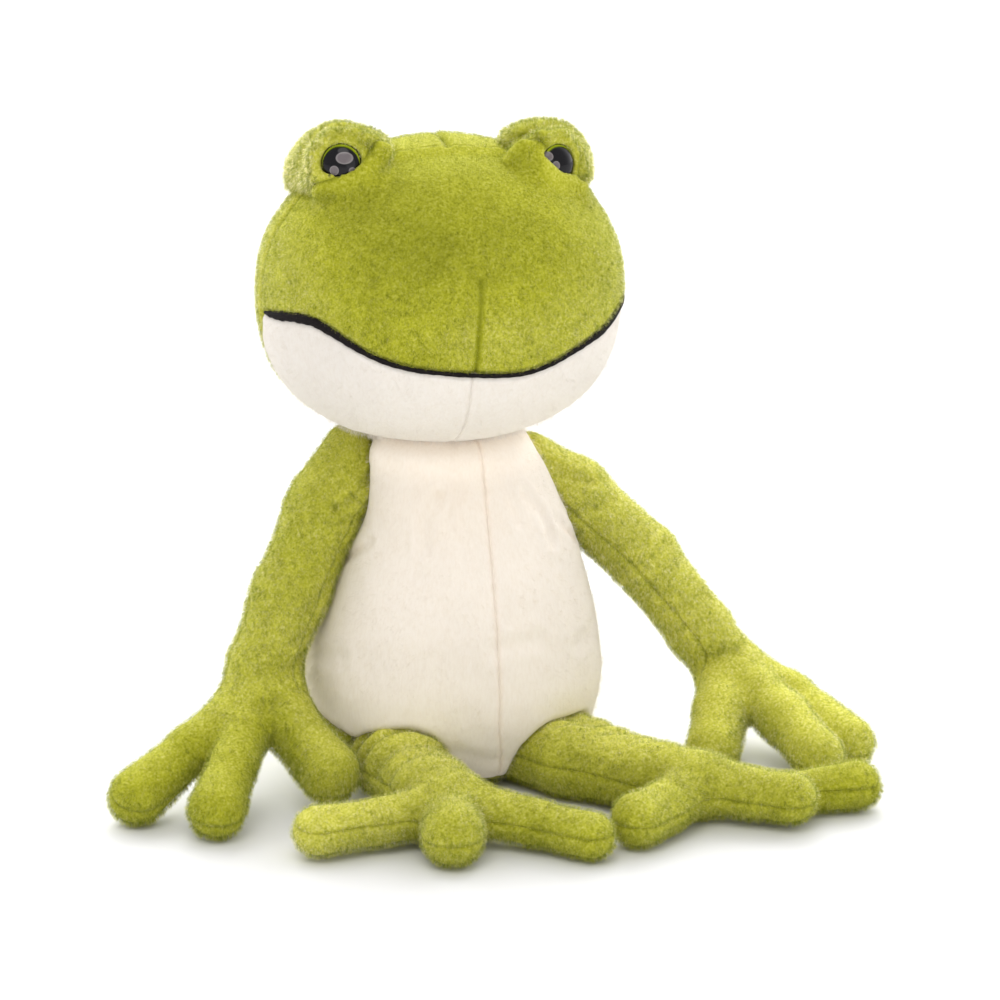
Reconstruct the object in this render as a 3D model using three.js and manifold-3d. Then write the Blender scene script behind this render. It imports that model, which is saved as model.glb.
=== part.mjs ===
// Seated plush frog: short-pile green skins with a cream chin and belly, a stuffed head with two eye mounds,
// a pellet-weighted torso, two three-fingered arms propped on the floor and two three-toed legs laid out in front.
//
// Millimetres, +Z up. The frog faces -Y and its right side is -X. The origin is the middle of the flat seat, on the floor.
// Every sewn skin is a thin shell cut along its seams into panels, with a stuffing core inside.

import * as THREE from 'three';
import { mergeVertices } from 'three/addons/utils/BufferGeometryUtils.js';
import Module from 'manifold-3d';

const wasm = await Module();
wasm.setup();

// ---------------------------------------------------------------- driving dimensions, mm
const SKIN = 1.5;          // fabric backing plus the pressed pile
const GAP = 0.3;           // clearance between pieces that touch
const SEAM = 0.3;          // width of the cut between two panels

const HEAD_CENTRE = [-4.5, -1.0, 147.5];
const HEAD_YAW = -3.3;     // degrees, the head looks a little to its right
const HEAD_RX = 55, HEAD_RY = 49, HEAD_TOP = 46, HEAD_BOTTOM = 44.5;
const HEAD_SIDE_SEAM_Y = -1.4;               // head frame: the seam between face and back of head
const POD = [[31.8, -3.5, 37.5, 14.0], [32.5, 8, 33, 14.0]];   // eye mound, head frame
const POD_SEAM_Y = -6.0;
const EYE = { at: [31.8, -17.2, 39.5], yaw: 21, pitch: 9, r: 5.8, dome: 3.0, sunk: 1.2, shankR: 1.7, shank: 9.5,
              washerR: 4.2, washerT: 1.0, washerAt: 6.6 };
// mouth line: height in the head frame against the angle from straight ahead
const MOUTH = [[0, -17.8], [15, -17.4], [25, -16], [33, -13.9], [43, -10], [52, -6.7], [60, -4.6], [68, -3.8],
               [80, -4.4], [90, -5.0], [180, -5.0]];
const MOUTH_R = 0.8, MOUTH_END = 84;

const NECK = [-1.5, 0, 99];
const NECK_RING_R = 12.5, NECK_THREAD_R = 1.2;

// torso profile: z, half width, front depth, back depth
const TORSO = [[0, 31, 31, 31], [4, 36.5, 38, 37.5], [12, 40.5, 42, 42], [28, 43, 44.5, 43.5], [45, 41, 43, 41],
               [62, 37.5, 39.5, 36.5], [80, 32, 34, 30], [91, 27.5, 30, 26], [96.8, 20, 22, 18]];
const SEAT_R = 26;
const PELLET_TOP = 32;
// side seam of the torso, (y, z): it drops down the flank and then runs forward under the belly to a point
const FLANK = [[1, 120], [2, 62], [2, 34], [-5, 18], [-20, 7.5], [-36, 1.6], [-60, -4]];

// limbs: chains of x, y, z, radius
const ARM_R = [[[-27, 2, 92.5, 10.4], [-39, -1, 81, 12.0], [-51, -4, 58, 12.0], [-61, -7, 38, 11.0], [-66, -10, 27, 10.3]],
               [[-66, -10, 27, 9.3], [-85, -21, 17, 7.4], [-103, -31, 8.3, 8.8]],
               [[-66, -10, 27, 9.3], [-76, -32, 16, 7.4], [-84, -47, 8.3, 8.8]],
               [[-66, -10, 27, 9.3], [-57, -25, 17, 7.6], [-49, -36, 8.3, 8.8]]];
const ARM_L = [[[26, 2, 92, 10.4], [38, 1, 81, 11.8], [60, -1, 59, 11.4], [78, -4, 35, 10.6], [86, -7, 23.5, 10.2]],
               [[86, -7, 23.5, 9.2], [78, -24, 14, 7.2], [73, -36, 7.9, 8.4]],
               [[86, -7, 23.5, 9.2], [92, -35.5, 14, 7.4], [95, -54, 7.9, 8.3]],
               [[86, -7, 23.5, 9.2], [98, -27, 15, 7.4], [107, -43, 7.9, 8.4]]];
const LEG_R = [[[-25, -24, 12, 11.8], [-27, -38, 12, 12.0], [-25, -58, 11.6, 11], [-22, -70, 10.6, 10]],
               [[-22, -70, 10.6, 9], [-45, -68, 8.2, 6.8], [-61, -68, 7.3, 7.8]],
               [[-22, -70, 10.6, 9], [-28, -84, 8.8, 7.6], [-31, -93, 8.3, 8.8]],
               [[-22, -70, 10.6, 9], [-2, -84, 8.2, 7.0], [11, -97, 7.5, 8.0]]];
const LEG_L = [[[24, -24, 11.5, 11.5], [31, -38, 11.5, 11.5], [43, -60, 11.2, 10.8], [51, -73, 10.6, 10]],
               [[51, -73, 10.6, 9], [37, -83, 8.4, 7.4], [28.5, -88, 7.9, 8.4]],
               [[51, -73, 10.6, 9], [64, -82, 8.4, 7.2], [76, -89, 7.5, 8.0]],
               [[51, -73, 10.6, 9], [78, -79, 8.4, 7.2], [98.5, -81.5, 7.5, 7.9]]];
// seams of the limbs, (y, z): above and in front of the line is the upper panel
const ARM_SEAM = [[2, 140], [2, 92], [-1, 81], [-4, 58], [-10, 27], [-24, 17], [-38, 9], [-90, 8]];
const LEG_SEAM = [[20, 12.2], [-58, 11.6], [-70, 10.4], [-92, 8.1], [-140, 7.9]];
// room for the roots of the limbs in the torso
const SOCKET = 2.1;        // between the root ball and the torso, holds the seam thread
const THREAD_R = 0.55;
const LEG_LIFTS = [0, 18, 35];

// ---------------------------------------------------------------- solids
const V = (a) => new THREE.Vector3(a[0], a[1], a[2]);

function solid(geometry) {
  const g0 = geometry.clone();
  g0.deleteAttribute('normal');
  g0.deleteAttribute('uv');
  const g = mergeVertices(g0, 1e-4);
  const vertProperties = new Float32Array(g.attributes.position.array);
  const triVerts = new Uint32Array(g.index.array);
  return new wasm.Manifold(new wasm.Mesh({ numProp: 3, vertProperties, triVerts }));
}

function toGeometry(manifold) {
  const m = manifold.getMesh();
  const n = m.numProp;
  const pos = new Float32Array(m.vertProperties.length / n * 3);
  for (let i = 0; i < pos.length / 3; i++)
    for (let k = 0; k < 3; k++) pos[3 * i + k] = m.vertProperties[n * i + k];
  const g = new THREE.BufferGeometry();
  g.setAttribute('position', new THREE.BufferAttribute(pos, 3));
  g.setIndex(new THREE.BufferAttribute(new Uint32Array(m.triVerts), 1));
  g.computeVertexNormals();
  return g;
}

// A sphere drawn out along stations: each station is {c, n, b, rx, ry, ryBack}; the first and last are points.
function drawn(stations, sides) {
  const g = new THREE.SphereGeometry(1, sides, stations.length - 1);
  const p = g.attributes.position;
  for (let iy = 0; iy < stations.length; iy++) {
    const s = stations[iy];
    for (let ix = 0; ix <= sides; ix++) {
      const phi = 2 * Math.PI * (ix % sides) / sides;
      const a = -Math.cos(phi), b = Math.sin(phi);
      const rb = s.ryBack !== undefined && b > 0 ? s.ryBack : s.ry;
      const v = s.c.clone().addScaledVector(s.n, a * s.rx).addScaledVector(s.b, b * rb);
      p.setXYZ(iy * (sides + 1) + ix, v.x, v.y, v.z);
    }
  }
  return g;
}

// A round tube with domed ends along a chain of (x, y, z, radius).
function tube(chain, grow, sides, steps, ref = [0, 0, 1]) {
  const curve = new THREE.CatmullRomCurve3(chain.map(V), false, 'centripetal');
  const radii = chain.map((c) => c[3] + grow);
  const up = V(ref);
  const at = (u) => {
    const c = curve.getPoint(u), t = curve.getTangent(u);
    const k = Math.min(u * (chain.length - 1), chain.length - 1 - 1e-9), i = Math.floor(k);
    const r = radii[i] + (radii[i + 1] - radii[i]) * (k - i);
    const n = up.clone().addScaledVector(t, -up.dot(t)).normalize();
    return { c, t, r, n, b: new THREE.Vector3().crossVectors(t, n) };
  };
  const st = [];
  const cap = (s, sign, angles) => {
    for (const a of angles)
      st.push({ c: s.c.clone().addScaledVector(s.t, sign * s.r * Math.cos(a)), n: s.n, b: s.b,
                rx: s.r * Math.sin(a), ry: s.r * Math.sin(a) });
  };
  const q = Math.PI / 2;
  cap(at(0), -1, [0, q * 0.5]);
  for (let i = 0; i <= steps; i++) { const s = at(i / steps); st.push({ c: s.c, n: s.n, b: s.b, rx: s.r, ry: s.r }); }
  cap(at(1), 1, [q * 0.5, 0]);
  return solid(drawn(st, sides));
}

function union(list) { return list.reduce((a, b) => a.add(b)); }

function box(x0, y0, z0, x1, y1, z1) {
  const g = new THREE.BoxGeometry(x1 - x0, y1 - y0, z1 - z0);
  g.translate((x0 + x1) / 2, (y0 + y1) / 2, (z0 + z1) / 2);
  return solid(g);
}
const above = (z) => box(-300, -300, z, 300, 300, 400);
const below = (z) => box(-300, -300, -100, 300, 300, z);
const left = () => box(SEAM / 2, -300, -300, 300, 300, 400);      // the frog's left, +X
const right = () => box(-300, -300, -300, -SEAM / 2, 300, 400);

// The region in front of and above a (y, z) line, as long as the frog is wide; shift moves it towards the front.
function frontOf(line, shift = 0) {
  const s = new THREE.Shape();
  const pts = line.map(([y, z]) => [y - shift, z + shift]);
  s.moveTo(pts[0][0], pts[0][1]);
  for (const [y, z] of pts.slice(1)) s.lineTo(y, z);
  const [ye, ze] = pts[pts.length - 1], [ys, zs] = pts[0];
  s.lineTo(ye - 100, ze); s.lineTo(ye - 100, 300);
  if (zs < 300) s.lineTo(ys, 300);
  s.closePath();
  const g = new THREE.ExtrudeGeometry(s, { depth: 400, bevelEnabled: false });
  // shape x -> y, shape y -> z, depth -> x
  g.applyMatrix4(new THREE.Matrix4().set(0, 0, 1, -200, 1, 0, 0, 0, 0, 1, 0, 0, 0, 0, 0, 1));
  return solid(g);
}

// ---------------------------------------------------------------- materials
const mat = (color, roughness, metalness = 0) => new THREE.MeshStandardMaterial({ color, roughness, metalness });
const GREEN = mat(0x9aa833, 0.95);
const GREEN_SHADE = mat(0x86952a, 0.95);
const CREAM = mat(0xf0e6d2, 0.95);
const THREAD_GREEN = mat(0x66721f, 0.8);
const BLACK_CORD = mat(0x161512, 0.7);
const BLACK_PLASTIC = mat(0x0b0b0d, 0.12);
const WHITE_PLASTIC = mat(0xd8d8d2, 0.45);
const FILL = mat(0xf2f2ee, 1.0);
const POUCH = mat(0xdcd6c6, 0.9);

const group = new THREE.Group();
function put(parent, name, manifold, material) {
  const mesh = new THREE.Mesh(toGeometry(manifold), material);
  mesh.name = name;
  parent.add(mesh);
  return mesh;
}

// ---------------------------------------------------------------- head, in its own frame
const headGroup = new THREE.Group();
headGroup.position.set(...HEAD_CENTRE);
headGroup.rotation.z = THREE.MathUtils.degToRad(HEAD_YAW);
group.add(headGroup);

function headBall(grow, sides = 18, rows = 11) {
  const g = new THREE.SphereGeometry(1, sides, rows);
  g.rotateX(Math.PI / 2);
  const p = g.attributes.position;
  for (let i = 0; i < p.count; i++) {
    const v = new THREE.Vector3().fromBufferAttribute(p, i).normalize();
    const h = Math.hypot(v.x / (HEAD_RX + grow), v.y / (HEAD_RY + grow));
    const n = v.z > 0 ? 2 : 2.5, rz = (v.z > 0 ? HEAD_TOP : HEAD_BOTTOM) + grow;
    const r = 1 / Math.pow(Math.pow(h, n) + Math.pow(Math.abs(v.z) / rz, n), 1 / n);
    p.setXYZ(i, v.x * r, v.y * r, v.z * r);
  }
  return solid(g);
}
const podTube = (sign, grow, sides = 10) =>
  tube(POD.map(([x, y, z, r]) => [sign * x, y, z, r]), grow, sides, 1, [0, 0, 1]);

function mouthZ(deg) {
  const a = Math.abs(deg);
  let i = 0;
  while (i < MOUTH.length - 2 && a > MOUTH[i + 1][0]) i++;
  const [a0, z0] = MOUTH[i], [a1, z1] = MOUTH[i + 1];
  return z0 + (z1 - z0) * Math.min(1, (a - a0) / (a1 - a0));
}
function headPoint(deg, z, grow = 0) {
  const n = z > 0 ? 2 : 2.5, rz = z > 0 ? HEAD_TOP : HEAD_BOTTOM;
  const h = Math.pow(1 - Math.pow(Math.abs(z) / rz, n), 1 / n);
  const a = THREE.MathUtils.degToRad(deg);
  const r = h / Math.hypot(Math.sin(a) / (HEAD_RX + grow), Math.cos(a) / (HEAD_RY + grow));
  return [r * Math.sin(a), -r * Math.cos(a), z];
}
// everything under the mouth line: a cylinder whose top follows the line
function underMouth(dz) {
  const SEG = 28, R = 90, ZC = -9;
  const g = new THREE.CylinderGeometry(R, R, 100, SEG, 1, false);
  g.rotateX(Math.PI / 2);
  const p = g.attributes.position;
  for (let i = 0; i < p.count; i++) {
    const x = p.getX(i), y = p.getY(i);
    if (p.getZ(i) < 0) { p.setZ(i, -120); continue; }
    const r = Math.hypot(x, y);
    if (r < 1) { p.setZ(i, ZC + dz); continue; }
    const deg = THREE.MathUtils.radToDeg(Math.atan2(x, -y));
    const q = headPoint(deg, mouthZ(deg)), rs = Math.hypot(q[0], q[1]);
    p.setZ(i, ZC + (mouthZ(deg) - ZC) * R / rs + dz);
  }
  return solid(g);
}

const MOUTH_PATH = [];
for (let k = 0; k <= 18; k++) {
  const deg = -MOUTH_END + 2 * MOUTH_END * k / 18;
  const end = Math.abs(deg) / MOUTH_END;
  MOUTH_PATH.push([...headPoint(deg, mouthZ(deg), 0.1), MOUTH_R * (0.85 + 0.25 * end * end)]);
}
const mouthCord = (grow) => tube(MOUTH_PATH, grow, 5, 18, [0, 0, 1]);

// the eye: a domed disc on a shank, along +Z, then turned to face out of the mound
function eyeLathe(grow) {
  const e = EYE, pts = [];
  const R = e.r + grow;
  pts.push([0, -e.shank - grow], [e.shankR + grow, -e.shank - grow], [e.shankR + grow, -e.sunk - grow], [R, -e.sunk - grow],
           [R, 0]);
  for (let k = 1; k < 5; k++) { const a = k / 5 * Math.PI / 2; pts.push([R * Math.cos(a), (e.dome + grow) * Math.sin(a)]); }
  pts.push([0, e.dome + grow]);
  const g = new THREE.LatheGeometry(pts.map(([x, y]) => new THREE.Vector2(x, y)), 12);
  g.rotateX(Math.PI / 2);
  return g;
}
function washerLathe(grow) {
  const e = EYE, h = GAP + 0.05;
  const z0 = -e.washerAt - e.washerT - grow, z1 = -e.washerAt + grow, ri = e.shankR + h, ro = e.washerR + grow;
  const pts = grow > 0 ? [[0, z0], [ro, z0], [ro, z1], [0, z1]] : [[ri, z0], [ro, z0], [ro, z1], [ri, z1], [ri, z0]];
  const g = new THREE.LatheGeometry(pts.map(([x, y]) => new THREE.Vector2(x, y)), 12);
  g.rotateX(Math.PI / 2);
  return g;
}
function placedEye(g, sign) {
  const yaw = THREE.MathUtils.degToRad(EYE.yaw), pitch = THREE.MathUtils.degToRad(EYE.pitch);
  const n = new THREE.Vector3(sign * Math.sin(yaw) * Math.cos(pitch), -Math.cos(yaw) * Math.cos(pitch), Math.sin(pitch));
  const m = new THREE.Matrix4().makeRotationFromQuaternion(new THREE.Quaternion().setFromUnitVectors(new THREE.Vector3(0, 0, 1), n));
  m.setPosition(sign * EYE.at[0], EYE.at[1], EYE.at[2]);
  g.applyMatrix4(m);
  return solid(g);
}

{
  const outer = union([headBall(0), podTube(-1, 0), podTube(1, 0)]);
  const inner = union([headBall(-SKIN), podTube(-1, -SKIN), podTube(1, -SKIN)]);
  let shell = outer.subtract(inner);
  const cord = mouthCord(GAP);
  shell = shell.subtract(cord);
  const eyeCut = union([-1, 1].map((s) => placedEye(eyeLathe(GAP + 0.1), s)));
  shell = shell.subtract(eyeCut);

  const podIn = union([podTube(-1, 0.02), podTube(1, 0.02)]);
  const podOut = union([podTube(-1, SEAM), podTube(1, SEAM)]);
  const pods = shell.intersect(podIn);
  const skull = shell.subtract(podOut);

  const front = (y) => box(-200, -200, -200, 200, y, 200);
  const back = (y) => box(-200, y, -200, 200, 200, 200);
  const face = skull.intersect(front(HEAD_SIDE_SEAM_Y - SEAM / 2));
  put(headGroup, 'head_face_panel', face.subtract(underMouth(SEAM / 2)), GREEN);
  const chin = face.intersect(underMouth(-SEAM / 2));
  put(headGroup, 'head_chin_panel_right', chin.intersect(right()), CREAM);
  put(headGroup, 'head_chin_panel_left', chin.intersect(left()), CREAM);
  const rear = skull.intersect(back(HEAD_SIDE_SEAM_Y + SEAM / 2));
  put(headGroup, 'head_back_panel_right', rear.intersect(right()), GREEN);
  put(headGroup, 'head_back_panel_left', rear.intersect(left()), GREEN);
  for (const [side, cut] of [['right', right()], ['left', left()]]) {
    put(headGroup, `eye_mound_front_${side}`, pods.intersect(cut).intersect(front(POD_SEAM_Y - SEAM / 2)), GREEN);
    put(headGroup, `eye_mound_rear_${side}`, pods.intersect(cut).intersect(back(POD_SEAM_Y + SEAM / 2)), GREEN_SHADE);
  }
  put(headGroup, 'mouth_line_cord', mouthCord(0), BLACK_CORD);

  let fill = union([headBall(-SKIN - GAP - 1.6, 14, 9), podTube(-1, -SKIN - GAP - 0.9, 8), podTube(1, -SKIN - GAP - 0.9, 8)]);
  fill = fill.subtract(cord);
  for (const s of [-1, 1]) {
    fill = fill.subtract(placedEye(eyeLathe(GAP), s)).subtract(placedEye(washerLathe(GAP), s));
    const side = s < 0 ? 'right' : 'left';
    put(headGroup, `eye_dome_${side}`, placedEye(eyeLathe(0), s), BLACK_PLASTIC);
    put(headGroup, `eye_lock_washer_${side}`, placedEye(washerLathe(0), s), WHITE_PLASTIC);
  }
  put(headGroup, 'head_stuffing', fill, FILL);
}

// ---------------------------------------------------------------- neck seam thread
{
  const g = new THREE.TorusGeometry(NECK_RING_R, NECK_THREAD_R, 5, 16);
  g.translate(NECK[0], NECK[1], NECK[2]);
  put(group, 'neck_seam_thread', solid(g), THREAD_GREEN);
}

// ---------------------------------------------------------------- limbs
const limbSolid = (chains, grow, s0, s1, steps, ref) => {
  const parts = chains.map((c, i) => tube(c, grow, i ? s1 : s0, i ? 2 : steps, i ? [0, 0.25, 1] : ref));
  return union(parts).intersect(above(Math.max(0, -grow)));
};
function makeLimb(name, chains, seam, ref, steps, upper, lower) {
  const outer = limbSolid(chains, 0, 8, 6, steps, ref);
  const inner = limbSolid(chains, -SKIN, 8, 6, steps, ref);
  const shell = outer.subtract(inner);
  put(group, `${name}_${upper}`, shell.intersect(frontOf(seam, SEAM / 3)), GREEN);
  put(group, `${name}_${lower}`, shell.subtract(frontOf(seam, 0)), GREEN_SHADE);
  put(group, `${name}_stuffing`, limbSolid(chains, -SKIN - GAP - 1.4, 6, 5, Math.max(3, steps - 1), ref), FILL);
}
makeLimb('arm_right', ARM_R, ARM_SEAM, [0, 1, 0], 4, 'outer_panel', 'inner_panel');
makeLimb('arm_left', ARM_L, ARM_SEAM, [0, 1, 0], 4, 'outer_panel', 'inner_panel');
makeLimb('leg_right', LEG_R, LEG_SEAM, [0, 0, 1], 3, 'top_panel', 'sole_panel');
makeLimb('leg_left', LEG_L, LEG_SEAM, [0, 0, 1], 3, 'top_panel', 'sole_panel');

// seam threads: circles in the room between a root ball and the torso; dir points from the limb into the torso
function seamThread(name, root, dir, half) {
  const rho = root[3] + SOCKET / 2, a = THREE.MathUtils.degToRad(half);
  const g = new THREE.TorusGeometry(rho * Math.sin(a), THREAD_R, 4, 14);
  g.translate(0, 0, rho * Math.cos(a));
  g.applyQuaternion(new THREE.Quaternion().setFromUnitVectors(new THREE.Vector3(0, 0, 1), V(dir).normalize()));
  g.translate(root[0], root[1], root[2]);
  put(group, name, solid(g), THREAD_GREEN);
}
seamThread('shoulder_seam_thread_right', ARM_R[0][0], [1, 0, 0], 38);
seamThread('shoulder_seam_thread_left', ARM_L[0][0], [-1, 0, 0], 38);
seamThread('hip_seam_thread_right', LEG_R[0][0], [0, 1, 0], 42);
seamThread('hip_seam_thread_left', LEG_L[0][0], [-0.44, 0.9, 0], 42);

// ---------------------------------------------------------------- torso
function torsoBody(grow, sides = 16) {
  const X = new THREE.Vector3(1, 0, 0), Y = new THREE.Vector3(0, 1, 0);
  const rows = TORSO.map(([z, rx, rf, rb]) => [z, rx + grow, rf + grow, rb + grow]);
  rows[0][0] -= grow;
  rows[rows.length - 1][0] += grow;
  const st = rows.map(([z, rx, rf, rb]) => ({ c: new THREE.Vector3(0, 0, z), n: X, b: Y, rx, ry: rf, ryBack: rb }));
  const cap = (s) => ({ c: s.c, n: X, b: Y, rx: 0, ry: 0 });
  return solid(drawn([cap(st[0]), ...st, cap(st[st.length - 1])], sides));
}
// a ball socket for the root, and the cone that an arm sweeps as it swings about a line along X through the shoulder
function shoulderRoom(root, sign, profile, grow) {
  const pts = profile.map(([x, r]) => new THREE.Vector2(r, x));
  const g = new THREE.LatheGeometry(pts, 10);
  // lathe axis Y -> X
  g.applyMatrix4(new THREE.Matrix4().set(0, sign, 0, root[0] + -sign * grow, sign, 0, 0, root[1], 0, 0, -1, root[2], 0, 0, 0, 1));
  let m = solid(g);
  const ball = new THREE.SphereGeometry(root[3] + SOCKET + grow, 10, 8);
  ball.translate(root[0], root[1], root[2]);
  return m.add(solid(ball));
}
// (x away from the torso's middle plane relative to the root, radius about the swing line)
const ROOM_R = [[-12.5, 0], [-12.3, 6], [-9.4, 14], [-3.0, 22], [6.0, 32], [18.0, 46], [36, 64], [36, 0]];
const ROOM_L = [[-12.2, 0], [-12.0, 6], [-8.6, 13], [0.0, 21], [11.5, 32], [28, 46], [40, 60], [40, 0]];
function legRoom(chains, axis, grow) {
  const c = chains[0], root = c[0];
  const parts = LEG_LIFTS.map((deg) => {
    const q = new THREE.Quaternion().setFromAxisAngle(V(axis).normalize(), THREE.MathUtils.degToRad(deg));
    const moved = c.map((p) => { const v = V(p).sub(V(root)).applyQuaternion(q).add(V(root)); return [v.x, v.y, v.z, p[3]]; });
    return tube(moved.slice(0, 3), 1.3 + grow, 8, 2, [0, 0, 1]);
  });
  const ball = new THREE.SphereGeometry(root[3] + SOCKET + grow, 10, 8);
  ball.translate(root[0], root[1], root[2]);
  return union([...parts, solid(ball)]);
}
const rooms = (grow) => union([
  shoulderRoom(ARM_R[0][0], -1, ROOM_R, grow), shoulderRoom(ARM_L[0][0], 1, ROOM_L, grow),
  legRoom(LEG_R, [-1, 0, 0], grow), legRoom(LEG_L, [-0.9, -0.44, 0], grow)]);
{
  const outer = torsoBody(0).subtract(rooms(0));
  const inner = torsoBody(-SKIN).subtract(rooms(SKIN));
  const shell = outer.subtract(inner);
  const disc = (r) => { const g = new THREE.CylinderGeometry(r, r, 4, 16); g.rotateX(Math.PI / 2); return solid(g); };
  put(group, 'seat_panel', shell.intersect(disc(SEAT_R)), GREEN_SHADE);
  const wall = shell.subtract(disc(SEAT_R + SEAM));
  const belly = wall.intersect(frontOf(FLANK, SEAM / 3)), back = wall.subtract(frontOf(FLANK, 0));
  put(group, 'belly_panel_right', belly.intersect(right()), CREAM);
  put(group, 'belly_panel_left', belly.intersect(left()), CREAM);
  put(group, 'back_panel_right', back.intersect(right()), GREEN);
  put(group, 'back_panel_left', back.intersect(left()), GREEN);
  const fill = torsoBody(-SKIN - GAP - 1.2, 12).subtract(rooms(SKIN + GAP));
  put(group, 'torso_stuffing', fill.intersect(above(PELLET_TOP + GAP)), FILL);
  put(group, 'pellet_pouch', fill.intersect(below(PELLET_TOP)), POUCH);
}

export default group;
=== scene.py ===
"""Seated plush frog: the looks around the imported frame. Metres, +Z up; the frog faces -Y.

The skins are grown from distance fields in millimetres, cut along their seams into the panels that the frame has,
pressed in along the seams, creased, and given thickness. Short pile grows on each panel."""
import math

import bpy
import numpy as np
from mathutils import Matrix, Vector
from mathutils.kdtree import KDTree


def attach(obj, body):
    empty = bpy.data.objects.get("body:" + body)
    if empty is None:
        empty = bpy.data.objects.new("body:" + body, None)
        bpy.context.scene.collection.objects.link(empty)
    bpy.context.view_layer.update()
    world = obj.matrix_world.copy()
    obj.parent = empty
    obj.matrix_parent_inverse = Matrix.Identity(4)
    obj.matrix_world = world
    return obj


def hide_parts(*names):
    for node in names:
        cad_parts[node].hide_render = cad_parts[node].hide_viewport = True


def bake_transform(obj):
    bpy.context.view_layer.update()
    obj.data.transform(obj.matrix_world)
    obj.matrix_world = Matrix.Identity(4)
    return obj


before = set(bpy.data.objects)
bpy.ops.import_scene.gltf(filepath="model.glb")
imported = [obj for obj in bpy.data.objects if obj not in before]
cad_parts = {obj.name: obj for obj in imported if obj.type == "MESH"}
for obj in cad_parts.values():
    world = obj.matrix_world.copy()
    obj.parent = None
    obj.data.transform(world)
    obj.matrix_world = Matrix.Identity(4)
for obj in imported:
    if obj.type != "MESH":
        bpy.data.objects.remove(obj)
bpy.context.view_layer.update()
MM = 0.001

# ---------------------------------------------------------------- camera
AZ, EL, DIST, LENS = math.radians(-18.0), math.radians(15.0), 1.150, 138.0
AIM = Vector((0.0142, 0.0, 0.0799))
back = Vector((math.sin(AZ) * math.cos(EL), -math.cos(AZ) * math.cos(EL), math.sin(EL)))
cam_data = bpy.data.cameras.new("camera")
cam_data.lens, cam_data.sensor_width = LENS, 36.0
cam_data.clip_start, cam_data.clip_end = 0.05, 20.0
cam = bpy.data.objects.new("camera", cam_data)
bpy.context.scene.collection.objects.link(cam)
cam.rotation_mode = "QUATERNION"
cam.location = AIM + back * DIST
cam.rotation_quaternion = (-back).to_track_quat("-Z", "Y")
bpy.context.scene.camera = cam

# ---------------------------------------------------------------- sizes, mm (the same skeleton as the frame)
HEAD_CENTRE = np.array([-4.5, -1.0, 147.5])
HEAD_YAW = math.radians(-3.3)
HRX, HRY, HTOP, HBOT = 54.8, 49.0, 44.1, 45.8
POD = {-1: [(-30.6, -3.8, 37.5, 12.3), (-31.5, 8.0, 33.0, 12.6), (-25.5, -3.6, 36.8, 11.8)],
       1: [(31.8, -3.8, 35.8, 12.3), (32.2, 8.0, 32.0, 12.7), (26.6, -3.6, 35.9, 12.2)]}
FOLD = {-1: ((-3.5, 6.6, 4.4), (-5.8, -5.5, 4.3)), 1: ((-1.8, -6.3, 5.1), (-8.0, 5.0, 4.3))}     # up, right, radius of the fold under each eye
EYE_AT, EYE_YAW, EYE_PITCH, EYE_R, EYE_DOME = {-1: (-33.0, -17.0, 40.1), 1: (30.4, -17.2, 37.3)}, 21.0, 9.0, 5.8, 3.0
MOUTH = np.array([[-180, -5], [-90, -4.8], [-82, -4.4], [-74, -3.7], [-64.5, -2.9], [-57.3, -3.3], [-51, -5.4], [-45.5, -7.9],
                  [-36.6, -11.7], [-25.8, -14.6], [-12.4, -16.2], [4, -17.5], [13, -17.9], [20, -17.5], [31, -15.2],
                  [39, -12.9], [46, -11.1], [52, -9.6], [57, -8.0], [62.5, -6.2], [70, -4.6], [80, -4.2], [90, -4.8], [180, -5]], float)
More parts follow.
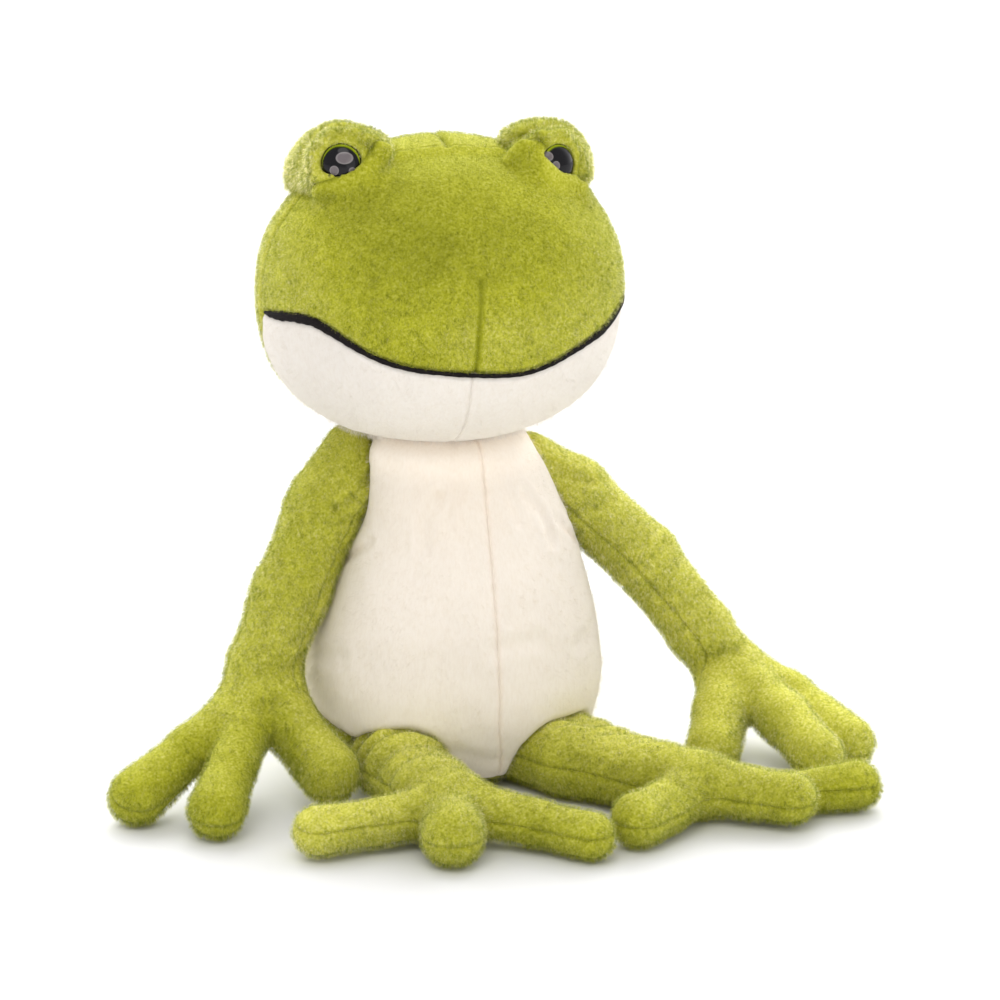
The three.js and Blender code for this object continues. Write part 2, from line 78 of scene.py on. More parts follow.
# the roll of cloth over each eye: up, towards the nose, out, radius
BROW = [(-3.5, -9.6, -2.6, 2.4), (3.2, -7.9, -1.6, 2.5), (7.4, -3.0, -1.0, 2.7), (7.9, 3.5, -1.0, 2.8), (5.4, 9.0, -2.0, 3.2), (3.6, 11.6, -3.8, 2.9), (-1.5, 8.6, -2.0, 3.4)]
NECK = np.array([-1.5, 0.0, 99.0])
LIMBS = {
    "arm_right": [[(-27, 2, 92.5, 10.4), (-41.2, -1, 81, 11.5), (-52.4, -4, 58, 11.5), (-61.4, -7, 38, 10.8), (-66, -10, 27, 10.5)],
                  [(-32.5, 1, 99.5, 8.0), (-38.5, 0, 87, 11.0)],
                  [(-66, -10, 26, 10.0), (-87, -20, 18.2, 7.4), (-105, -28, 8.6, 8.9)],
                  [(-66, -10, 26, 10.0), (-77.4, -32, 16.5, 7.1), (-86.0, -46.5, 8.7, 8.9)],
                  [(-60.5, -8, 34, 10.2), (-56, -22, 21.5, 8.2), (-49.2, -34.5, 12.0, 9.6)]],
    "arm_left": [[(23.5, 2, 90.5, 9.9), (37.4, 1, 80.0, 11.5), (59.7, -1, 58.8, 10.8), (77.3, -4, 34.9, 10.2), (85.4, -7, 23.4, 9.8)],
                 [(85, -7, 22.8, 9.3), (76.5, -24.5, 14.5, 8.4), (69.5, -37, 7.9, 8.8)],
                 [(85, -7, 22.8, 9.3), (92.6, -35.5, 14.6, 8.1), (96.6, -54, 7.9, 8.2)],
                 [(85.4, -6.5, 23.2, 9.3), (101.2, -21, 17.0, 6.6), (109.8, -46, 8.4, 8.4)]],
    "leg_right": [[(-28.5, -9, 11.6, 11.4), (-28.3, -38, 11.0, 11.0), (-26, -58, 10.8, 10.4), (-22, -70, 10.4, 9.9)],
                  [(-21, -11, 10.6, 10.4), (-24.5, -40, 10.3, 10.3), (-23, -58, 10.5, 10.1), (-22, -70, 10.2, 9.8)],
                  [(-22, -70, 10.6, 9), (-45, -70.2, 8.3, 6.9), (-62.8, -71.6, 8.0, 8.0)],
                  [(-22, -70, 10.6, 9), (-26.6, -81, 9.2, 8.5), (-28.6, -88.6, 9.0, 9.7)],
                  [(-22, -70, 10.6, 9), (-2.5, -83.5, 8.0, 6.8), (9.6, -96.5, 7.1, 7.5)]],
    "leg_left": [[(5.5, -11, 11.6, 11.4), (21.5, -43, 10.8, 10.9), (38, -62, 10.4, 10.1), (51, -73, 10.0, 9.6)],
                 [(19, -6, 11.4, 11.2), (30.5, -40, 10.4, 10.4), (43, -60, 9.8, 9.7), (51, -73, 9.9, 9.5)],
                 [(51, -73, 10.2, 9), (35.5, -84.5, 8.4, 7.6), (26.3, -90.8, 8.2, 8.7)],
                 [(51, -73, 10.2, 9), (63, -82, 9.2, 7.4), (73.4, -89.5, 9.2, 7.9)],
                 [(51, -73, 9.6, 8.6), (76, -80, 7.0, 6.3), (97, -81, 7.5, 7.9)]],
}
ARM_SEAM = np.array([[2, 140], [2, 92], [-1, 81], [-4, 58], [-9, 27], [-22, 13], [-36, 6], [-90, 5]], float)   # y, z
LEG_SEAM = np.array([[20, 12.2], [-58, 11.6], [-70, 10.4], [-92, 8.1], [-140, 7.9]], float)
FLANK = np.array([[1, 120], [2, 62], [2, 34], [-5, 18], [-20, 7.5], [-36, 1.6], [-60, -4]], float)
FLANK_R = np.array([[1, 120], [2, 62], [2, 34], [-1, 25.5], [-9, 22], [-18.5, 19], [-27, 13.5], [-34, 8], [-42, 1.6], [-60, -4]], float)
TZ = [0, 6, 12, 28, 45, 62, 80, 95, 103, 106.5]
TX = [31.0, 36.8, 41.0, 44.8, 43.4, 39, 33.5, 28.8, 24.8, 20.5]
TYF = [28.5, 35.5, 39.6, 44.5, 43, 39.5, 34, 29.2, 25.2, 20.5]
TYB = [36.5, 40.3, 42.2, 43.5, 41, 36.5, 30.5, 26, 22.5, 19.5]
PILE = 0.8        # how far the cloth lies under the tips of the pile
CLOTH = 1.0       # thickness of the cloth


# ---------------------------------------------------------------- fields
def smin(a, b, k):
    h = np.clip(0.5 + 0.5 * (b - a) / k, 0, 1)
    return b * (1 - h) + a * h - k * h * (1 - h)


def smax(a, b, k):
    return -smin(-a, -b, k)


def step(x, a, b):
    t = np.clip((x - a) / (b - a), 0, 1)
    return t * t * (3 - 2 * t)


def cone(p, a, b):
    a, b = np.array(a, float), np.array(b, float)
    ba = b[:3] - a[:3]
    t = np.clip(((p - a[:3]) @ ba) / (ba @ ba), 0, 1)
    return np.linalg.norm(p - a[:3] - t[:, None] * ba, axis=1) - (a[3] + (b[3] - a[3]) * t)


def ball(p, c, r):
    return np.linalg.norm(p - np.array(c, float), axis=1) - r


_table = np.random.RandomState(7).normal(size=(4096, 3))
_table /= np.linalg.norm(_table, axis=1)[:, None]


def noise(p, seed=0):
    """Gradient noise, about -0.7 to 0.7."""
    i = np.floor(p).astype(np.int64)
    f = p - i
    u = f * f * f * (f * (f * 6 - 15) + 10)
    out = np.zeros(len(p))
    for cx in (0, 1):
        for cy in (0, 1):
            for cz in (0, 1):
                h = ((i[:, 0] + cx) * 73856093) ^ ((i[:, 1] + cy) * 19349663) ^ ((i[:, 2] + cz) * 83492791) ^ (seed * 2654435761 % 1000003)
                g = _table[(h ^ (h >> 13)) & 4095]
                d = f - np.array([cx, cy, cz])
                w = (u[:, 0] if cx else 1 - u[:, 0]) * (u[:, 1] if cy else 1 - u[:, 1]) * (u[:, 2] if cz else 1 - u[:, 2])
                out += w * (g * d).sum(1)
    return out


def spline(x, xs, ys):
    """A smooth curve through the points (a cubic with the slopes of its neighbours)."""
    xs, ys = np.array(xs, float), np.array(ys, float)
    m = np.gradient(ys, xs)
    x = np.clip(x, xs[0], xs[-1])
    k = np.clip(np.searchsorted(xs, x) - 1, 0, len(xs) - 2)
    h = xs[k + 1] - xs[k]
    t = (x - xs[k]) / h
    return ((1 + 2 * t) * (1 - t) ** 2) * ys[k] + t * (1 - t) ** 2 * h * m[k] + t * t * (3 - 2 * t) * ys[k + 1] + t * t * (t - 1) * h * m[k + 1]


def limb(p, name, grow=0.0, floor=True):
    d = None
    for chain in LIMBS[name]:
        dd = None
        for a, b in zip(chain[:-1], chain[1:]):
            c = cone(p, a, b)
            dd = c if dd is None else smin(dd, c, 3)
        d = dd if d is None else smin(d, dd, 3)
    d = d + PILE - grow
    return smax(d, 0.35 - p[:, 2], 2.5) if floor else d


def root(p, name, grow):
    """Only the upper part of a limb, which sits in the torso."""
    d = None
    for chain in LIMBS[name][:1 if name == "arm_left" else 2]:
        dd = cone(p, chain[0], chain[1])
        for a, b in zip(chain[1:-1], chain[2:]):
            dd = smin(dd, cone(p, a, b), 3)
        d = dd if d is None else smin(d, dd, 5)
    return d + PILE - grow


def torso(p):
    z = p[:, 2]
    rx, rf, rb = spline(z, TZ, TX), spline(z, TZ, TYF), spline(z, TZ, TYB)
    ry = rb + (rf - rb) * step(-p[:, 1], -6, 6)
    x = p[:, 0] - np.interp(z, [78, 92, 100, 106], [0, -2.0, -4.0, -4.5])
    # the side that the right arm leans on is fuller low down
    rx = rx + (1 - step(x, -30, -4)) * np.interp(z, [0, 8, 12, 19, 28, 40, 55, 70], [3, 3.6, 3.9, 4.4, 3.2, 2.4, 1.0, 0])
    g = np.sqrt((x / rx) ** 2 + (p[:, 1] / ry) ** 2)
    r = np.hypot(x, p[:, 1])
    d = r * (1 - 1 / np.maximum(g, 1e-6)) * 0.9 + PILE
    d = smax(d, 0.3 - z, 7)
    d = smax(d, z - 106.2, 5)
    for name in ("arm_right", "arm_left"):
        d = smax(d, -root(p, name, 0.3), 2.0)
    for name in ("leg_right", "leg_left"):
        d = smax(d, -root(p, name, 0.3), 2.5)
    return d


C, S = math.cos(HEAD_YAW), math.sin(HEAD_YAW)


def to_row(q):
    return np.stack([C * q[:, 0] - S * q[:, 1], S * q[:, 0] + C * q[:, 1], q[:, 2]], 1) + HEAD_CENTRE


def eye_frame(s):
    yaw, pitch = math.radians(EYE_YAW), math.radians(EYE_PITCH)
    n = np.array([s * math.sin(yaw) * math.cos(pitch), -math.cos(yaw) * math.cos(pitch), math.sin(pitch)])
    up = np.array([0, 0, 1.0]) - n[2] * n
    up /= np.linalg.norm(up)
    return np.array(EYE_AT[s]), n, up, np.cross(up, n)     # centre, out, up, right


def skull(q):
    up = q[:, 2] > 0
    rz, n = np.where(up, HTOP, HBOT), np.where(up, 2.1, 2.5)
    h = np.sqrt((q[:, 0] / HRX) ** 2 + (q[:, 1] / HRY) ** 2)
    g = (h ** n + np.abs(q[:, 2] / rz) ** n) ** (1 / n)
    r = np.linalg.norm(q, axis=1)
    d = r * (1 - 1 / np.maximum(g, 1e-6)) * 0.85
    return d + PILE


def pods(q):
    d = None
    for s in (-1, 1):
        c = smin(cone(q, POD[s][0], POD[s][1]), cone(q, POD[s][0], POD[s][2]), 2)
        d = c if d is None else np.minimum(d, c)
    return d + PILE


def head(q):
    """The skull and the two mounds, with a lip of cloth round each eye, a fuller fold below it and a seat for the dome."""
    base = skull(q)
    for s in (-1, 1):
        c, out, up, right = eye_frame(s)
        (u1, r1, k1), (u2, r2, k2) = FOLD[s]
        base = smin(base, cone(q, (*(c + u1 * up - 0.8 * out + r1 * right), k1), (*(c + u2 * up - 0.9 * out + r2 * right), k2)), 5)
    d = smin(base, pods(q), 2.2)
    for s in (-1, 1):
        c, out, up, right = eye_frame(s)
        rel = q - c
        o = rel @ out
        r = np.linalg.norm(rel - o[:, None] * out, axis=1)
        u = rel @ up
        above = step(u, -5, 4)
        d = smin(d, np.hypot(r - 7.1, o + 0.5) - (0.9 + 0.8 * above), 2.5)
        spots = [c + a1 * up - s * a2 * right + a3 * out for a1, a2, a3, a4 in BROW]
        for i in range(len(BROW) - 1):
            d = smin(d, cone(q, (*spots[i], BROW[i][3]), (*spots[i + 1], BROW[i + 1][3])), 2.5)
        k0 = np.hypot(r / 5.95, o / 3.15)
        k1 = np.hypot(r / 5.95 ** 2, o / 3.15 ** 2)
        lens = np.maximum(k0 * (k0 - 1) / np.maximum(k1, 1e-6), -(o + 1.6))
        d = smax(d, -lens, 1.0)
    return d


def mouth_z(deg):
    return spline(deg, MOUTH[:, 0], MOUTH[:, 1])


# ---------------------------------------------------------------- surfaces from fields
def nets(fn, lo, hi, h):
    lo, hi = np.array(lo, float), np.array(hi, float)
    n = np.ceil((hi - lo) / h).astype(int) + 1
    axes = [lo[i] + h * np.arange(n[i]) for i in range(3)]
    grid = np.stack(np.meshgrid(*axes, indexing="ij"), -1).reshape(-1, 3)
    value = np.concatenate([fn(part) for part in np.array_split(grid, max(1, len(grid) // 150000))]).reshape(n)
    inside = value < 0
    count = np.zeros(n - 1, int)
    corners = [(i, j, k) for i in (0, 1) for j in (0, 1) for k in (0, 1)]
    for i, j, k in corners:
        count += inside[i:n[0] - 1 + i, j:n[1] - 1 + j, k:n[2] - 1 + k]
    active = (count > 0) & (count < 8)
    index = -np.ones(n - 1, int)
    cells = np.argwhere(active)
    index[active] = np.arange(len(cells))
    total, hits = np.zeros((len(cells), 3)), np.zeros(len(cells))
    for a in corners:
        for axis in range(3):
            if a[axis]:
                continue
            b = list(a); b[axis] = 1
            fa = value[tuple((cells + a).T)]
            fb = value[tuple((cells + b).T)]
            cross = (fa < 0) != (fb < 0)
            t = np.where(cross, fa / np.where(cross, fa - fb, 1), 0)
            point = np.array(a, float) + t[:, None] * (np.array(b, float) - np.array(a, float))
            total[cross] += point[cross]
            hits[cross] += 1
    verts = lo + (cells + total / hits[:, None]) * h
    quads = []
    for axis in range(3):
        u, v = (axis + 1) % 3, (axis + 2) % 3
        at = [slice(1, m - 1) for m in n]
        at[axis] = slice(0, n[axis] - 1)
        first = inside[tuple(at)]
        at2 = list(at); at2[axis] = slice(1, n[axis])
        second = inside[tuple(at2)]
        where = np.argwhere(first != second) + np.array([0 if i == axis else 1 for i in range(3)])
        out = first[first != second]
        eu, ev = np.eye(3, dtype=int)[u], np.eye(3, dtype=int)[v]
        ring = [index[tuple((where - s * eu - t * ev).T)] for s, t in ((1, 1), (0, 1), (0, 0), (1, 0))]
        ring = np.stack(ring, 1)
        ring[~out] = ring[~out][:, ::-1]
        quads.append(ring)
    quads = np.concatenate(quads)
    quads = quads[(quads >= 0).all(1)]
    return verts, quads


def gradient(fn, p, e=0.25):
    g = np.zeros_like(p)
    for a in range(3):
        o = np.zeros(3); o[a] = e
        g[:, a] = (fn(p + o) - fn(p - o)) / (2 * e)
    return g


def project(fn, p, times=2):
    for _ in range(times):
        g = gradient(fn, p)
        p = p - (fn(p) / np.maximum((g * g).sum(1), 0.05))[:, None] * g
    return p


def tri_of(quads, v):
    a = np.linalg.norm(v[quads[:, 0]] - v[quads[:, 2]], axis=1)
    b = np.linalg.norm(v[quads[:, 1]] - v[quads[:, 3]], axis=1)
    m = a <= b
    q, r = quads[m], quads[~m]
    return np.concatenate([q[:, [0, 1, 2]], q[:, [0, 2, 3]], r[:, [1, 2, 3]], r[:, [1, 3, 0]]])


def normals(v, t):
    c = np.cross(v[t[:, 1]] - v[t[:, 0]], v[t[:, 2]] - v[t[:, 0]])
    n = np.zeros_like(v)
    for k in range(3):
        for a in range(3):
            n[:, a] += np.bincount(t[:, k], c[:, a], len(v))
    return n / np.maximum(np.linalg.norm(n, axis=1), 1e-12)[:, None]


def around(v, t):
    """The mean of each point's neighbours."""
    e = np.concatenate([t[:, [0, 1]], t[:, [1, 2]], t[:, [2, 0]]])
    total, hits = np.zeros_like(v), np.bincount(e[:, 0], minlength=len(v)) + np.bincount(e[:, 1], minlength=len(v))
    for a in range(3):
        total[:, a] = np.bincount(e[:, 0], v[e[:, 1], a], len(v)) + np.bincount(e[:, 1], v[e[:, 0], a], len(v))
    return total / np.maximum(hits, 1)[:, None]


def grown(fn, lo, hi, h):
    v, q = nets(fn, lo, hi, h)
    v = project(fn, v, 2)
    t = tri_of(q, v)
    for _ in range(4):
        n = normals(v, t)
        d = around(v, t) - v
        v = v + 0.6 * (d - (d * n).sum(1)[:, None] * n)
        v = project(fn, v, 1)
    return v, t


def split(v, t, fn, h, snap=0.28):
    """Cuts the triangles along fn = 0, so that a seam runs on edges."""
    f = fn(v)
    g = gradient(fn, v, 0.05)
    n = normals(v, t)
    g -= (g * n).sum(1)[:, None] * n
    size = np.maximum(np.linalg.norm(g, axis=1), 1e-6)
    near = np.abs(f) / size < snap * h
    v = v.copy()
    v[near] -= (f[near] / size[near] ** 2)[:, None] * g[near]
    f[near] = 0
    s = np.sign(f).astype(int)
    edges = np.concatenate([t[:, [0, 1]], t[:, [1, 2]], t[:, [2, 0]]])
    edges.sort(1)
    edges = np.unique(edges, axis=0)
    edges = edges[s[edges[:, 0]] * s[edges[:, 1]] < 0]
    if not len(edges):
        return v, t
    w = f[edges[:, 0]] / (f[edges[:, 0]] - f[edges[:, 1]])
    new = v[edges[:, 0]] + w[:, None] * (v[edges[:, 1]] - v[edges[:, 0]])
    at = {(int(a), int(b)): len(v) + i for i, (a, b) in enumerate(edges)}
    v = np.concatenate([v, new])
    s = np.concatenate([s, np.zeros(len(new), int)])
    ts = s[t]
    cut = (ts.min(1) < 0) & (ts.max(1) > 0)
    out = [t[~cut]]
    more = []
    mid = lambda a, b: at[(a, b) if a < b else (b, a)]
    for tri in t[cut].tolist():
        k = [s[i] for i in tri]
        if 0 in k:
            i = k.index(0)
            a, b, c = tri[i], tri[(i + 1) % 3], tri[(i + 2) % 3]
            m = mid(b, c)
            more += [(a, b, m), (a, m, c)]
        else:
            lone = 1 if sum(k) < 0 else -1
            i = k.index(lone)
            a, b, c = tri[i], tri[(i + 1) % 3], tri[(i + 2) % 3]
            m, o = mid(a, b), mid(a, c)
            more += [(a, m, o), (m, b, c), (m, c, o)]
    out.append(np.array(more, int).reshape(-1, 3))
    return v, np.concatenate(out)


def tree_of(points):
    tree = KDTree(len(points))
    for i, p in enumerate(points):
        tree.insert(p, i)
    tree.balance()
    return tree


def nearest(points, v, reach):
    """(distance, index) of the nearest of points for each v; far ones get reach."""
    d, k = np.full(len(v), reach), np.zeros(len(v), int)
    if not len(points):
        return d, k
    lo, hi = points.min(0) - reach, points.max(0) + reach
    close = np.flatnonzero(((v > lo) & (v < hi)).all(1))
    tree = tree_of(points)
    for i in close.tolist():
        _, j, dist = tree.find(v[i])
        if dist < reach:
            d[i], k[i] = dist, j
    return d, k


def dense(points, gap=0.5):
    """A smooth line through the points, as close-set points."""
    p = np.array(points, float)
    if len(p) < 2:
        return p
    s = np.concatenate([[0], np.cumsum(np.linalg.norm(np.diff(p, axis=0), axis=1))])
    x = np.linspace(0, s[-1], max(2, int(s[-1] / gap)))
    return np.stack([spline(x, s, p[:, a]) if len(p) > 2 else np.interp(x, s, p[:, a]) for a in range(3)], 1)


def seam_points(v, t, label):
    """Points along the edges where two panels meet, with the pair of panels at each."""
    e = np.concatenate([t[:, [0, 1]], t[:, [1, 2]], t[:, [2, 0]]])
    e.sort(1)
    lab = np.concatenate([label] * 3)
    order = np.lexsort((e[:, 1], e[:, 0]))
    e, lab = e[order], lab[order]
    same = (e[1:] == e[:-1]).all(1)
    diff = same & (lab[1:] != lab[:-1])
    pairs = np.stack([np.minimum(lab[1:], lab[:-1]), np.maximum(lab[1:], lab[:-1])], 1)[diff]
    ends = e[1:][diff]
    a, b = v[ends[:, 0]], v[ends[:, 1]]
    return np.concatenate([a, (a + b) / 2, b]), np.concatenate([pairs] * 3)


def press(v, n, points, depth, width, pucker=0.0, wave=5.0, seed=1, shoulder=0.25):
    """How far each point sinks for a seam or crease along points: a groove, a low roll on each side and small gathers."""
    reach = width * 3.5 + (6 if pucker else 0)
    d, k = nearest(points, v, reach)
    x = d / width
    sink = -depth * np.exp(-x * x) + shoulder * depth * np.exp(-((x - 1.9) / 0.8) ** 2)
    if pucker:
        m = d < reach
        g = np.zeros(len(v))
        g[m] = noise(points[k[m]] / wave, seed) + 0.5 * noise(points[k[m]] / (wave * 0.45), seed + 5)
        sink += pucker * g * np.exp(-(d / (width * 2.2)) ** 2) * (1 - np.exp(-(x * 1.2) ** 2))
    return np.where(d < reach, sink, 0)


# ---------------------------------------------------------------- materials
def new_material(name):
    m = bpy.data.materials.new(name)
    m.use_nodes = True
    tree = m.node_tree
    return m, tree, tree.nodes, tree.links, tree.nodes["Principled BSDF"]


def ramp(nodes, stops, kind="LINEAR"):
    r = nodes.new("ShaderNodeValToRGB")
    r.color_ramp.interpolation = kind
    e = r.color_ramp.elements
    while len(e) < len(stops):
        e.new(0.5)
    for x, (pos, col) in zip(e, stops):
        x.position, x.color = pos, (*col, 1)
    return r


def noise_node(nodes, links, vector, scale, detail=2.0, rough=0.5, stretch=None):
    n = nodes.new("ShaderNodeTexNoise")
    n.inputs["Scale"].default_value = scale
    n.inputs["Detail"].default_value = detail
    n.inputs["Roughness"].default_value = rough
    if stretch:
        m = nodes.new("ShaderNodeMapping")
        m.inputs["Scale"].default_value = stretch
        links.new(vector, m.inputs["Vector"])
        vector = m.outputs["Vector"]
    links.new(vector, n.inputs["Vector"])
    return n


def mix(nodes, links, a, b, fac, kind="MIX"):
    m = nodes.new("ShaderNodeMix")
    m.data_type, m.blend_type = "RGBA", kind
    for socket, value in ((m.inputs[6], a), (m.inputs[7], b), (m.inputs[0], fac)):
        if hasattr(value, "is_linked") or isinstance(value, bpy.types.NodeSocket):
            links.new(value, socket)
        elif isinstance(value, (int, float)):
            socket.default_value = value
        else:
            socket.default_value = (*value, 1)
    return m.outputs[2]


def with_painted_light(nodes, links, colour, cream):
    """Multiplies a colour by the painted light and shade stored on the mesh; where the green is painted lighter it is
    also paler, as a painted sheen. The cream is also made warmer by the second number.
    """
    a = nodes.new("ShaderNodeAttribute"); a.attribute_name = "tone"
    sep = nodes.new("ShaderNodeSeparateColor")
    links.new(a.outputs["Color"], sep.inputs[0])
    if cream:
        # the cream painted lighter or darker
        r = ramp(nodes, [(0.2, (0.86, 0.86, 0.86)), (0.5, (1, 1, 1)), (1.0, (1.14, 1.14, 1.14))])
    else:
        # the green painted darker and greener in painted shade, lighter and paler in painted light and sheen
        r = ramp(nodes, [(0.0, (0.50, 0.53, 0.42)), (0.5, (1, 1, 1)), (0.75, (1.16, 1.14, 2.0)), (1.0, (1.48, 1.43, 3.2))])
    links.new(sep.outputs[0], r.inputs["Fac"])
    c = mix(nodes, links, colour, r.outputs["Color"], 1.0, "MULTIPLY")
    if cream:
        c = mix(nodes, links, c, mix(nodes, links, c, (1.0, 0.95, 0.875), 1.0, "MULTIPLY"), sep.outputs[1])
    return c


def plush(name, root_col, low, mid, high, tint, sheen=0.35, fleck=1500.0, stretch=None, bump=0.35, nap_turn=0.07, seam_col=None):
    """Short pile cloth: flecked where the tufts part, softer patches where the nap turns, darker in the seams and, on
    the body, in the painted shade of the armpit creases; then painted light and shade from the mesh.
    """
    m, tree, nodes, links, bsdf = new_material(name)
    at = nodes.new("ShaderNodeAttribute"); at.attribute_name = "laid"
    p = at.outputs["Vector"]
    fine = noise_node(nodes, links, p, fleck, 3.0, 0.6, stretch)
    tuft = noise_node(nodes, links, p, fleck * 0.7, 2.0, 0.5, stretch)
    nap = noise_node(nodes, links, p, 62.0, 2.0, 0.5)
    wide = noise_node(nodes, links, p, 24.0, 1.0, 0.5)
    blend1 = nodes.new("ShaderNodeMath"); blend1.operation = "MULTIPLY_ADD"
    links.new(fine.outputs["Fac"], blend1.inputs[0]); blend1.inputs[1].default_value = 0.62
    half = nodes.new("ShaderNodeMath"); half.operation = "MULTIPLY"
    links.new(tuft.outputs["Fac"], half.inputs[0]); half.inputs[1].default_value = 0.38
    links.new(half.outputs[0], blend1.inputs[2])
    r = ramp(nodes, [(0.34, root_col), (0.44, low), (0.53, mid), (0.68, high)])
    links.new(blend1.outputs[0], r.inputs["Fac"])
    r2 = ramp(nodes, [(0.35, (1 - nap_turn,) * 3), (0.62, (1 + nap_turn * 0.5,) * 3)])
    links.new(nap.outputs["Fac"], r2.inputs["Fac"])
    c = mix(nodes, links, r.outputs["Color"], r2.outputs["Color"], 1.0, "MULTIPLY")
    r3 = ramp(nodes, [(0.35, (1 - nap_turn * 0.5,) * 3), (0.65, (1 + nap_turn * 0.3,) * 3)])
    links.new(wide.outputs["Fac"], r3.inputs["Fac"])
    c = mix(nodes, links, c, r3.outputs["Color"], 1.0, "MULTIPLY")
    # darker seams, and on the body painted shade in the armpit creases
    deep = nodes.new("ShaderNodeAttribute"); deep.attribute_name = "seam"
    c = mix(nodes, links, c, seam_col or root_col, deep.outputs["Fac"])
    # painted light and shade from the mesh
    c = with_painted_light(nodes, links, c, cream=stretch is not None)
    links.new(c, bsdf.inputs["Base Color"])
    bsdf.inputs["Roughness"].default_value = 0.92
    bsdf.inputs["Specular IOR Level"].default_value = 0.08
    bsdf.inputs["Sheen Weight"].default_value = sheen
    bsdf.inputs["Sheen Roughness"].default_value = 0.45
    bsdf.inputs["Sheen Tint"].default_value = (*tint, 1)
    b = nodes.new("ShaderNodeBump")
    b.inputs["Strength"].default_value = bump
    b.inputs["Distance"].default_value = 0.0005
    links.new(blend1.outputs[0], b.inputs["Height"])
    links.new(b.outputs["Normal"], bsdf.inputs["Normal"])
    return m


def pile_material(name, roots, tips, spread):
    """The fibres: darker at the root as painted shade down in the pile, brighter and paler at the tip as a painted
    sheen, each a little different, the brightest ones whiter as painted glints.
    """
    m, tree, nodes, links, bsdf = new_material(name)
    info = nodes.new("ShaderNodeHairInfo")
    r = ramp(nodes, [(0.0, roots), (0.75, tips), (1.0, tuple(min(1.0, c * 1.15) for c in tips))])
    links.new(info.outputs["Intercept"], r.inputs["Fac"])
    # each fibre a little different; the bright end is whiter, a painted glint
    r2 = ramp(nodes, [(0.0, spread[0]), (0.5, spread[1]), (1.0, spread[2])])
    links.new(info.outputs["Random"], r2.inputs["Fac"])
    c = mix(nodes, links, r.outputs["Color"], r2.outputs["Color"], 1.0, "MULTIPLY")
    # painted light and shade from the mesh, read at each fibre's root
    c = with_painted_light(nodes, links, c, cream="cream" in name)
    if name == "green_pile":      # painted highlights and painted shade in small tufts, a little longer along the nap
        co = nodes.new("ShaderNodeTexCoord")
        tuft_sheen_and_shade = noise_node(nodes, links, co.outputs["Object"], 1150.0, 1.0, 0.5, (1.0, 1.0, 0.5))
        r4 = ramp(nodes, [(0.36, (0.44, 0.53, 0.18)), (0.5, (0.98, 0.98, 0.92)), (0.64, (1.5, 1.43, 2.6))])
        links.new(tuft_sheen_and_shade.outputs["Fac"], r4.inputs["Fac"])
        c = mix(nodes, links, c, r4.outputs["Color"], 1.0, "MULTIPLY")
    links.new(c, bsdf.inputs["Base Color"])
    bsdf.inputs["Roughness"].default_value = 0.6
    bsdf.inputs["Specular IOR Level"].default_value = 0.15
    bsdf.inputs["Sheen Weight"].default_value = 0.0
    through = nodes.new("ShaderNodeBsdfTranslucent")      # light also comes through the tips of the fibres
    links.new(c, through.inputs["Color"])
    both = nodes.new("ShaderNodeMixShader")
    both.inputs[0].default_value = 0.35
    out = [k for k in nodes if k.type == "OUTPUT_MATERIAL"][0]
    links.new(bsdf.outputs[0], both.inputs[1])
    links.new(through.outputs[0], both.inputs[2])
    links.new(both.outputs[0], out.inputs["Surface"])
    return m


def cloth_like(name, base, dark, scale, rough=0.9, bump=0.4, distance=0.0004, sheen=0.2):
    """Threads, fibre fill and the pellet pouch."""
    m, tree, nodes, links, bsdf = new_material(name)
    co = nodes.new("ShaderNodeTexCoord")
    n = noise_node(nodes, links, co.outputs["Object"], scale, 4.0, 0.65)
    r = ramp(nodes, [(0.35, dark), (0.62, base)])
    links.new(n.outputs["Fac"], r.inputs["Fac"])
    links.new(r.outputs["Color"], bsdf.inputs["Base Color"])
    bsdf.inputs["Roughness"].default_value = rough
    bsdf.inputs["Sheen Weight"].default_value = sheen
    b = nodes.new("ShaderNodeBump")
    b.inputs["Strength"].default_value = bump
    b.inputs["Distance"].default_value = distance
    links.new(n.outputs["Fac"], b.inputs["Height"])
    links.new(b.outputs["Normal"], bsdf.inputs["Normal"])
    return m


G_ROOT, G_LOW, G_MID, G_HIGH = (0.27, 0.28, 0.012), (0.36, 0.365, 0.020), (0.44, 0.44, 0.034), (0.55, 0.54, 0.10)
C_ROOT, C_LOW, C_MID, C_HIGH = (0.81, 0.755, 0.687), (0.822, 0.77, 0.709), (0.835, 0.787, 0.728), (0.845, 0.80, 0.75)
GREEN = plush("green_plush", G_ROOT, G_LOW, G_MID, G_HIGH, (0.80, 0.85, 0.42), sheen=0.25)
# the cream's seams and the painted shade in its armpit creases take a peach colour
CREAM = plush("cream_plush", C_ROOT, C_LOW, C_MID, C_HIGH, (1.0, 0.97, 0.92), sheen=0.2, stretch=(1.0, 1.0, 0.3), bump=0.1, nap_turn=0.012, seam_col=(0.88, 0.72, 0.59))
# in both piles the darker roots are painted shade down in the pile; in the green the pale tips and the whitish bright
# end of the spread are painted sheen and glints
GREEN_PILE = pile_material("green_pile", (0.22, 0.265, 0.010), (0.586, 0.588, 0.094), ((0.74, 0.79, 0.5), (1, 1, 0.9), (1.22, 1.18, 2.3)))
CREAM_PILE = pile_material("cream_pile", (0.815, 0.765, 0.70), (0.845, 0.80, 0.745), ((0.98, 0.98, 0.98), (1, 1, 1), (1.01, 1.01, 1.01)))
BLACK_BASE = (0.016, 0.012, 0.0125)
THREAD = cloth_like("seam_thread", (0.22, 0.27, 0.03), (0.10, 0.13, 0.015), 1500)
BLACK = cloth_like("mouth_thread", BLACK_BASE, (0.003, 0.003, 0.003), 2200, rough=0.8, bump=0.6, distance=0.0003, sheen=0.0)
BLACK.node_tree.nodes["Principled BSDF"].inputs["Specular IOR Level"].default_value = 0.12
